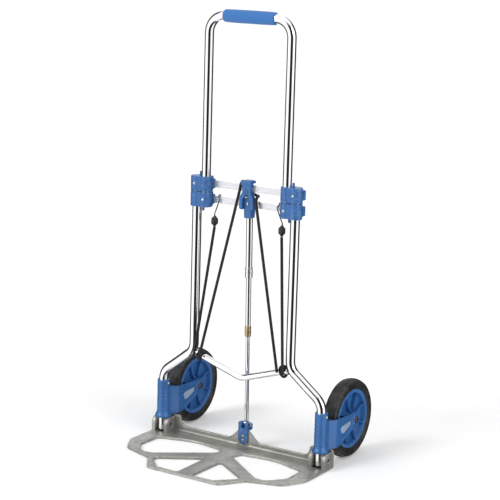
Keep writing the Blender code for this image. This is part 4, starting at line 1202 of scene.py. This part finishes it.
def make_bracket(side, sx):
    """The moulded bracket: fluted sleeve with a skirt, and a fork that opens round the wheel."""
    x = sx * FOOT_X
    low, high = SLEEVE_Z
    bracket = prism("bracket", arm_outline(), "YZ", x - FORK_OUT, x + FORK_OUT)
    wide = x + FORK_OUT + 0.001
    plan = [(x + 0.0120, 0.0), (x + 0.0140, 0.012), (wide, 0.0335), (wide, 0.140)]
    plan += [(2 * x - px, py) for px, py in reversed(plan)]
    combine(bracket, [prism("plan", plan, "XY", 0.02, 0.15)], "INTERSECT")
    cutters = [rod_along_x("space", x - FORK_IN, x + FORK_IN, AXLE, WHEEL_R + 0.003, 96)]
    for way in (-1, 1):
        ends = sorted((x + way * (FORK_OUT - PANEL_SINK), x + way * (FORK_OUT + 0.004)))
        cutters.append(prism("panel", panel_outline(), "YZ", *ends))
    cut(bracket, *cutters)
    ribs = [(0, high), (SLEEVE_R - 0.0008, high), (SLEEVE_R, high - 0.0008)]
    for share in (0.74, 0.63, 0.52, 0.26):
        at = low + (high - low) * share
        ribs += [(SLEEVE_R, at + 0.0013), (SLEEVE_R - 0.0007, at + 0.0006), (SLEEVE_R - 0.0007, at - 0.0006),
                 (SLEEVE_R, at - 0.0013)]
    ribs += [(SLEEVE_R, low + 0.0150), (SLEEVE_R + 0.0006, low + 0.0120), (SLEEVE_R + 0.0020, low + 0.0090),
             (FLARE_R - 0.0005, low + 0.0058), (FLARE_R, low + 0.0044), (FLARE_R, low + 0.0012),
             (FLARE_R - 0.0010, low), (0, low)]
    bosses = [lathe("sleeve", ribs, Matrix.Translation((x, 0, 0)), 64)]
    ring = [(0.0084, 0.0034), (0.0104, 0.0034), (0.0114, 0.0026), (0.0120, 0), (0.0084, 0)]
    for way in (-1, 1):
        face = along_x((x + way * (FORK_OUT - 0.001), AXLE.y, AXLE.z), way)
        bosses.append(lathe("boss", ring, face, 48, closed=True))
    join(bracket, *bosses)
    scallop = rod("scallop", (x, -0.03, high + 0.0065), (x, 0.03, high + 0.0065), 0.0088, 40)
    cut(bracket, rod_along_x("axle_hole", x - 0.03, x + 0.03, AXLE, AXLE_BORE_R), scallop,
        rod("bore", (x, 0, low - 0.01), (x, 0, high + 0.01), TUBE_R + FIT, 48))
    soften(bracket, 0.0007, 3, 0.3)
    stand_for(bracket, "wheel_bracket_" + side, BLUE)


def make_badge(side, sx):
    """A plain label in each sunk panel, with nothing printed on it."""
    corners = [(0.0505, 0.0820), (0.0550, 0.0700), (0.0640, 0.0680), (0.0925, 0.0800), (0.0935, 0.0890),
               (0.0570, 0.0855)]
    outline = filleted(corners, 0.0015, 5, closed=True)
    for way, place in ((1, "outer"), (-1, "inner")):
        face = sx * FOOT_X + way * sx * (FORK_OUT - PANEL_SINK)
        ends = sorted((face - way * sx * 0.0002, face + way * sx * 0.0006))
        label = prism(f"label_{place}_{side}", outline, "YZ", *ends, 0.0002)
        dress(label, "wheel_bracket_" + side, LABEL)


def hexagon(radius):
    """Six corners round the axle's line, in the YZ plane."""
    return [Vector((AXLE.y + radius * math.cos(math.pi * k / 3), AXLE.z + radius * math.sin(math.pi * k / 3)))
            for k in range(6)]


def make_axle(side, sx):
    x = sx * FOOT_X
    low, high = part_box("axle_" + side)
    nut_low, nut_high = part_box("axle_nut_" + side)
    head_start = x + FORK_OUT + FIT
    seat = along_x((head_start, AXLE.y, AXLE.z))
    bolt = prism("bolt", hexagon(0.0075), "YZ", head_start, high.x, 0.0005)
    head = high.x - head_start
    profile = [(0, head), (0.0050, head), (0.0068, 0.0030), (0.0080, 0.0010), (0.0080, -0.0005), (0, -0.0005)]
    combine(bolt, [lathe("dome", profile, seat, 40)], "INTERSECT")
    profile = [(0, 0.0012), (0.0078, 0.0012), (0.0082, 0.0006), (0.0082, 0.0), (0, 0)]
    washer = lathe("flange", profile, seat, 40)
    shank = rod_along_x("shank", low.x, head_start + 0.001, AXLE, 0.0048, 32, 0.0006)
    join(bolt, washer, shank)
    stand_for(bolt, "axle_" + side, AGED)
    nut = prism("nut", hexagon(0.0072), "YZ", nut_low.x, nut_high.x, 0.0004)
    cut(nut, rod_along_x("hole", nut_low.x - 0.01, nut_high.x + 0.01, AXLE, AXLE_BORE_R))
    stand_for(nut, "axle_nut_" + side, AGED)


def make_sleeve_screw(side, sx):
    node = "sleeve_screw_" + side
    profile = [(0, 0.0017), (0.0012, 0.0016), (0.0022, 0.0011), (0.0029, 0.0003), (0.0029, 0.0001),
               (0.0017, 0.0001), (0.0017, -0.0022), (0, -0.0022)]
    screw = lathe("sleeve_pin_" + side, profile, along_x((sx * FOOT_X + SLEEVE_R, 0, centre(node).z)), 28)
    stand_for(screw, node, ZINC)


def make_wheels():
    for side, sx in SIDES:
        make_tyre(side, sx)
        make_rim(side, sx)
        make_bracket(side, sx)
        make_badge(side, sx)
        make_axle(side, sx)
        make_sleeve_screw(side, sx)


# ---------------------------------------------------------------- elastic cords and hooks

CORD_R = 0.0032
CORD_END_Y, CORD_END_Z = -0.0148, 0.200
MIDDLE_CORD_X, OUTER_CORD_X = 0.102, 0.116
LOOP_X, LOOP_R = 0.108, 0.0111
BUNGEE_TOP = [(-0.0185, 0.0050, 0.584), (-0.0178, 0.0068, 0.5935), (-0.0175, 0.0100, 0.5994),
              (-0.0173, 0.0148, 0.6012), (-0.0168, 0.0196, 0.5984), (-0.0145, 0.0236, 0.5905),
              (-0.0090, 0.0262, 0.5815), (0.0000, 0.0272, 0.5750), (0.0095, 0.0266, 0.5718),
              (0.0170, 0.0238, 0.5712), (0.0208, 0.0180, 0.5712), (0.0222, 0.0120, 0.5706),
              (0.0230, 0.0070, 0.5670), (0.0240, 0.0045, 0.5590)]


def straight(start, end, pieces):
    start, end = Vector(start), Vector(end)
    return [start.lerp(end, k / pieces) for k in range(pieces)]


def make_cords():
    left_end = Vector((-MIDDLE_CORD_X, CORD_END_Y, CORD_END_Z))
    right_end = Vector((MIDDLE_CORD_X, CORD_END_Y, CORD_END_Z))
    top = [Vector(p) for p in BUNGEE_TOP]
    route = straight(left_end, top[0], 24)[:-1] + smooth_path(top, 4)
    route += straight(right_end, top[-1], 24)[:-1][::-1]
    stand_for(sweep("cord_middle", route, CORD_R, 18), "bungee_middle", BRAID)
    for side, sx in SIDES:
        body = centre("hook_body_" + side)
        low_end = Vector((sx * OUTER_CORD_X, CORD_END_Y, CORD_END_Z))
        high_end = Vector((body.x, body.y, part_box("bungee_" + side)[1].z - 0.0002))
        strand = sweep("cord_" + side, straight(low_end, high_end, 24) + [high_end], CORD_R, 18)
        stand_for(strand, "bungee_" + side, BRAID)
        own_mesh(strand)
        make_wrap(side, sx)


def make_wrap(side, sx):
    """The cord's turns round the brace, where the two runs meet in a bight."""
    tilt = math.atan2(BRACE_END_Z - BRACE_LOW_Z, MAIN_X) * sx
    along = Vector((math.cos(tilt), 0, math.sin(tilt)))
    up = Vector((-math.sin(tilt), 0, math.cos(tilt)))
    middle = Vector((sx * LOOP_X, BRACE_Y, brace_z(LOOP_X)))
    back = Vector((0, 1, 0))
    start, end, steps = -0.25, 1.25, 60
    reach, pitch = LOOP_R + 0.0001, 0.009
    coil = []
    for k in range(steps + 1):
        t = 2 * math.pi * (start + (end - start) * k / steps)
        drift = sx * pitch * (0.5 - k / steps)
        coil.append(middle + along * drift + reach * (math.sin(t) * back + math.cos(t) * up))
    stand_for(sweep("cord_wrap_" + side, coil, CORD_R, 16, dome=0.001), "bungee_loop_" + side, BRAID)


def make_hooks():
    for side, sx in SIDES:
        node = "hook_body_" + side
        low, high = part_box(node)
        middle = (low + high) / 2
        half_width, half_height = (high.x - low.x) / 2, (high.z - low.z) / 2
        balls = [((0, 0, half_height - 0.0026), 0.0026), ((0, 0, half_height - 0.0062), 0.0048),
                 ((0, 0, -half_height + 0.0034), 0.0034), ((0, 0, -half_height + 0.0065), 0.0050),
                 ((0, 0, 0), half_width)]
        lobes, lobe_r = 6, 0.0034
        reach = half_width - lobe_r
        for k in range(lobes):
            t = 2 * math.pi * (k + 0.3) / lobes
            for turn, height in ((0, 0.0042), (0.5, -0.0042)):
                balls.append(((reach * math.cos(t + turn), reach * math.sin(t + turn), height), lobe_r))
        bm = bmesh.new()
        for place, radius in balls:
            at = Matrix.Translation(middle + Vector(place))
            bmesh.ops.create_uvsphere(bm, u_segments=24, v_segments=14, radius=radius, matrix=at)
        grip = from_bmesh("hook_grip_" + side, bm, 50)
        stand_for(soften(grip, 0.0004, 2, 0.5), node, BLACK)
        wire_x = {"left": -0.0765, "right": 0.0785}[side]
        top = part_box("lower_crossbar")[1].z
        path = [(middle.x, 0.0042, high.z + 0.0002), (middle.x, 0.0042, high.z + 0.004),
                (wire_x - 0.0025 * sx, 0.0083, top - 0.009), (wire_x, 0.0098, top - 0.001),
                (wire_x, 0.0116, top + 0.0027), (wire_x, 0.0143, top + 0.0036),
                (wire_x, 0.0168, top + 0.0021), (wire_x, 0.0176, top - 0.0015),
                (wire_x, 0.0177, top - 0.006)]
        stand_for(sweep("hook_bent_wire_" + side, smooth_path(path, 6), 0.0013, 14, dome=0.0006),
                  "hook_wire_" + side, BLACK)


make_tubes()
make_grip()
make_screws()
make_bars()
make_clamps()
make_latch()
make_latch_hardware()
make_block()
make_rod()
make_rod_bracket()
make_toe_plate()
make_hinge_pins()
make_wheels()
make_cords()
make_hooks()
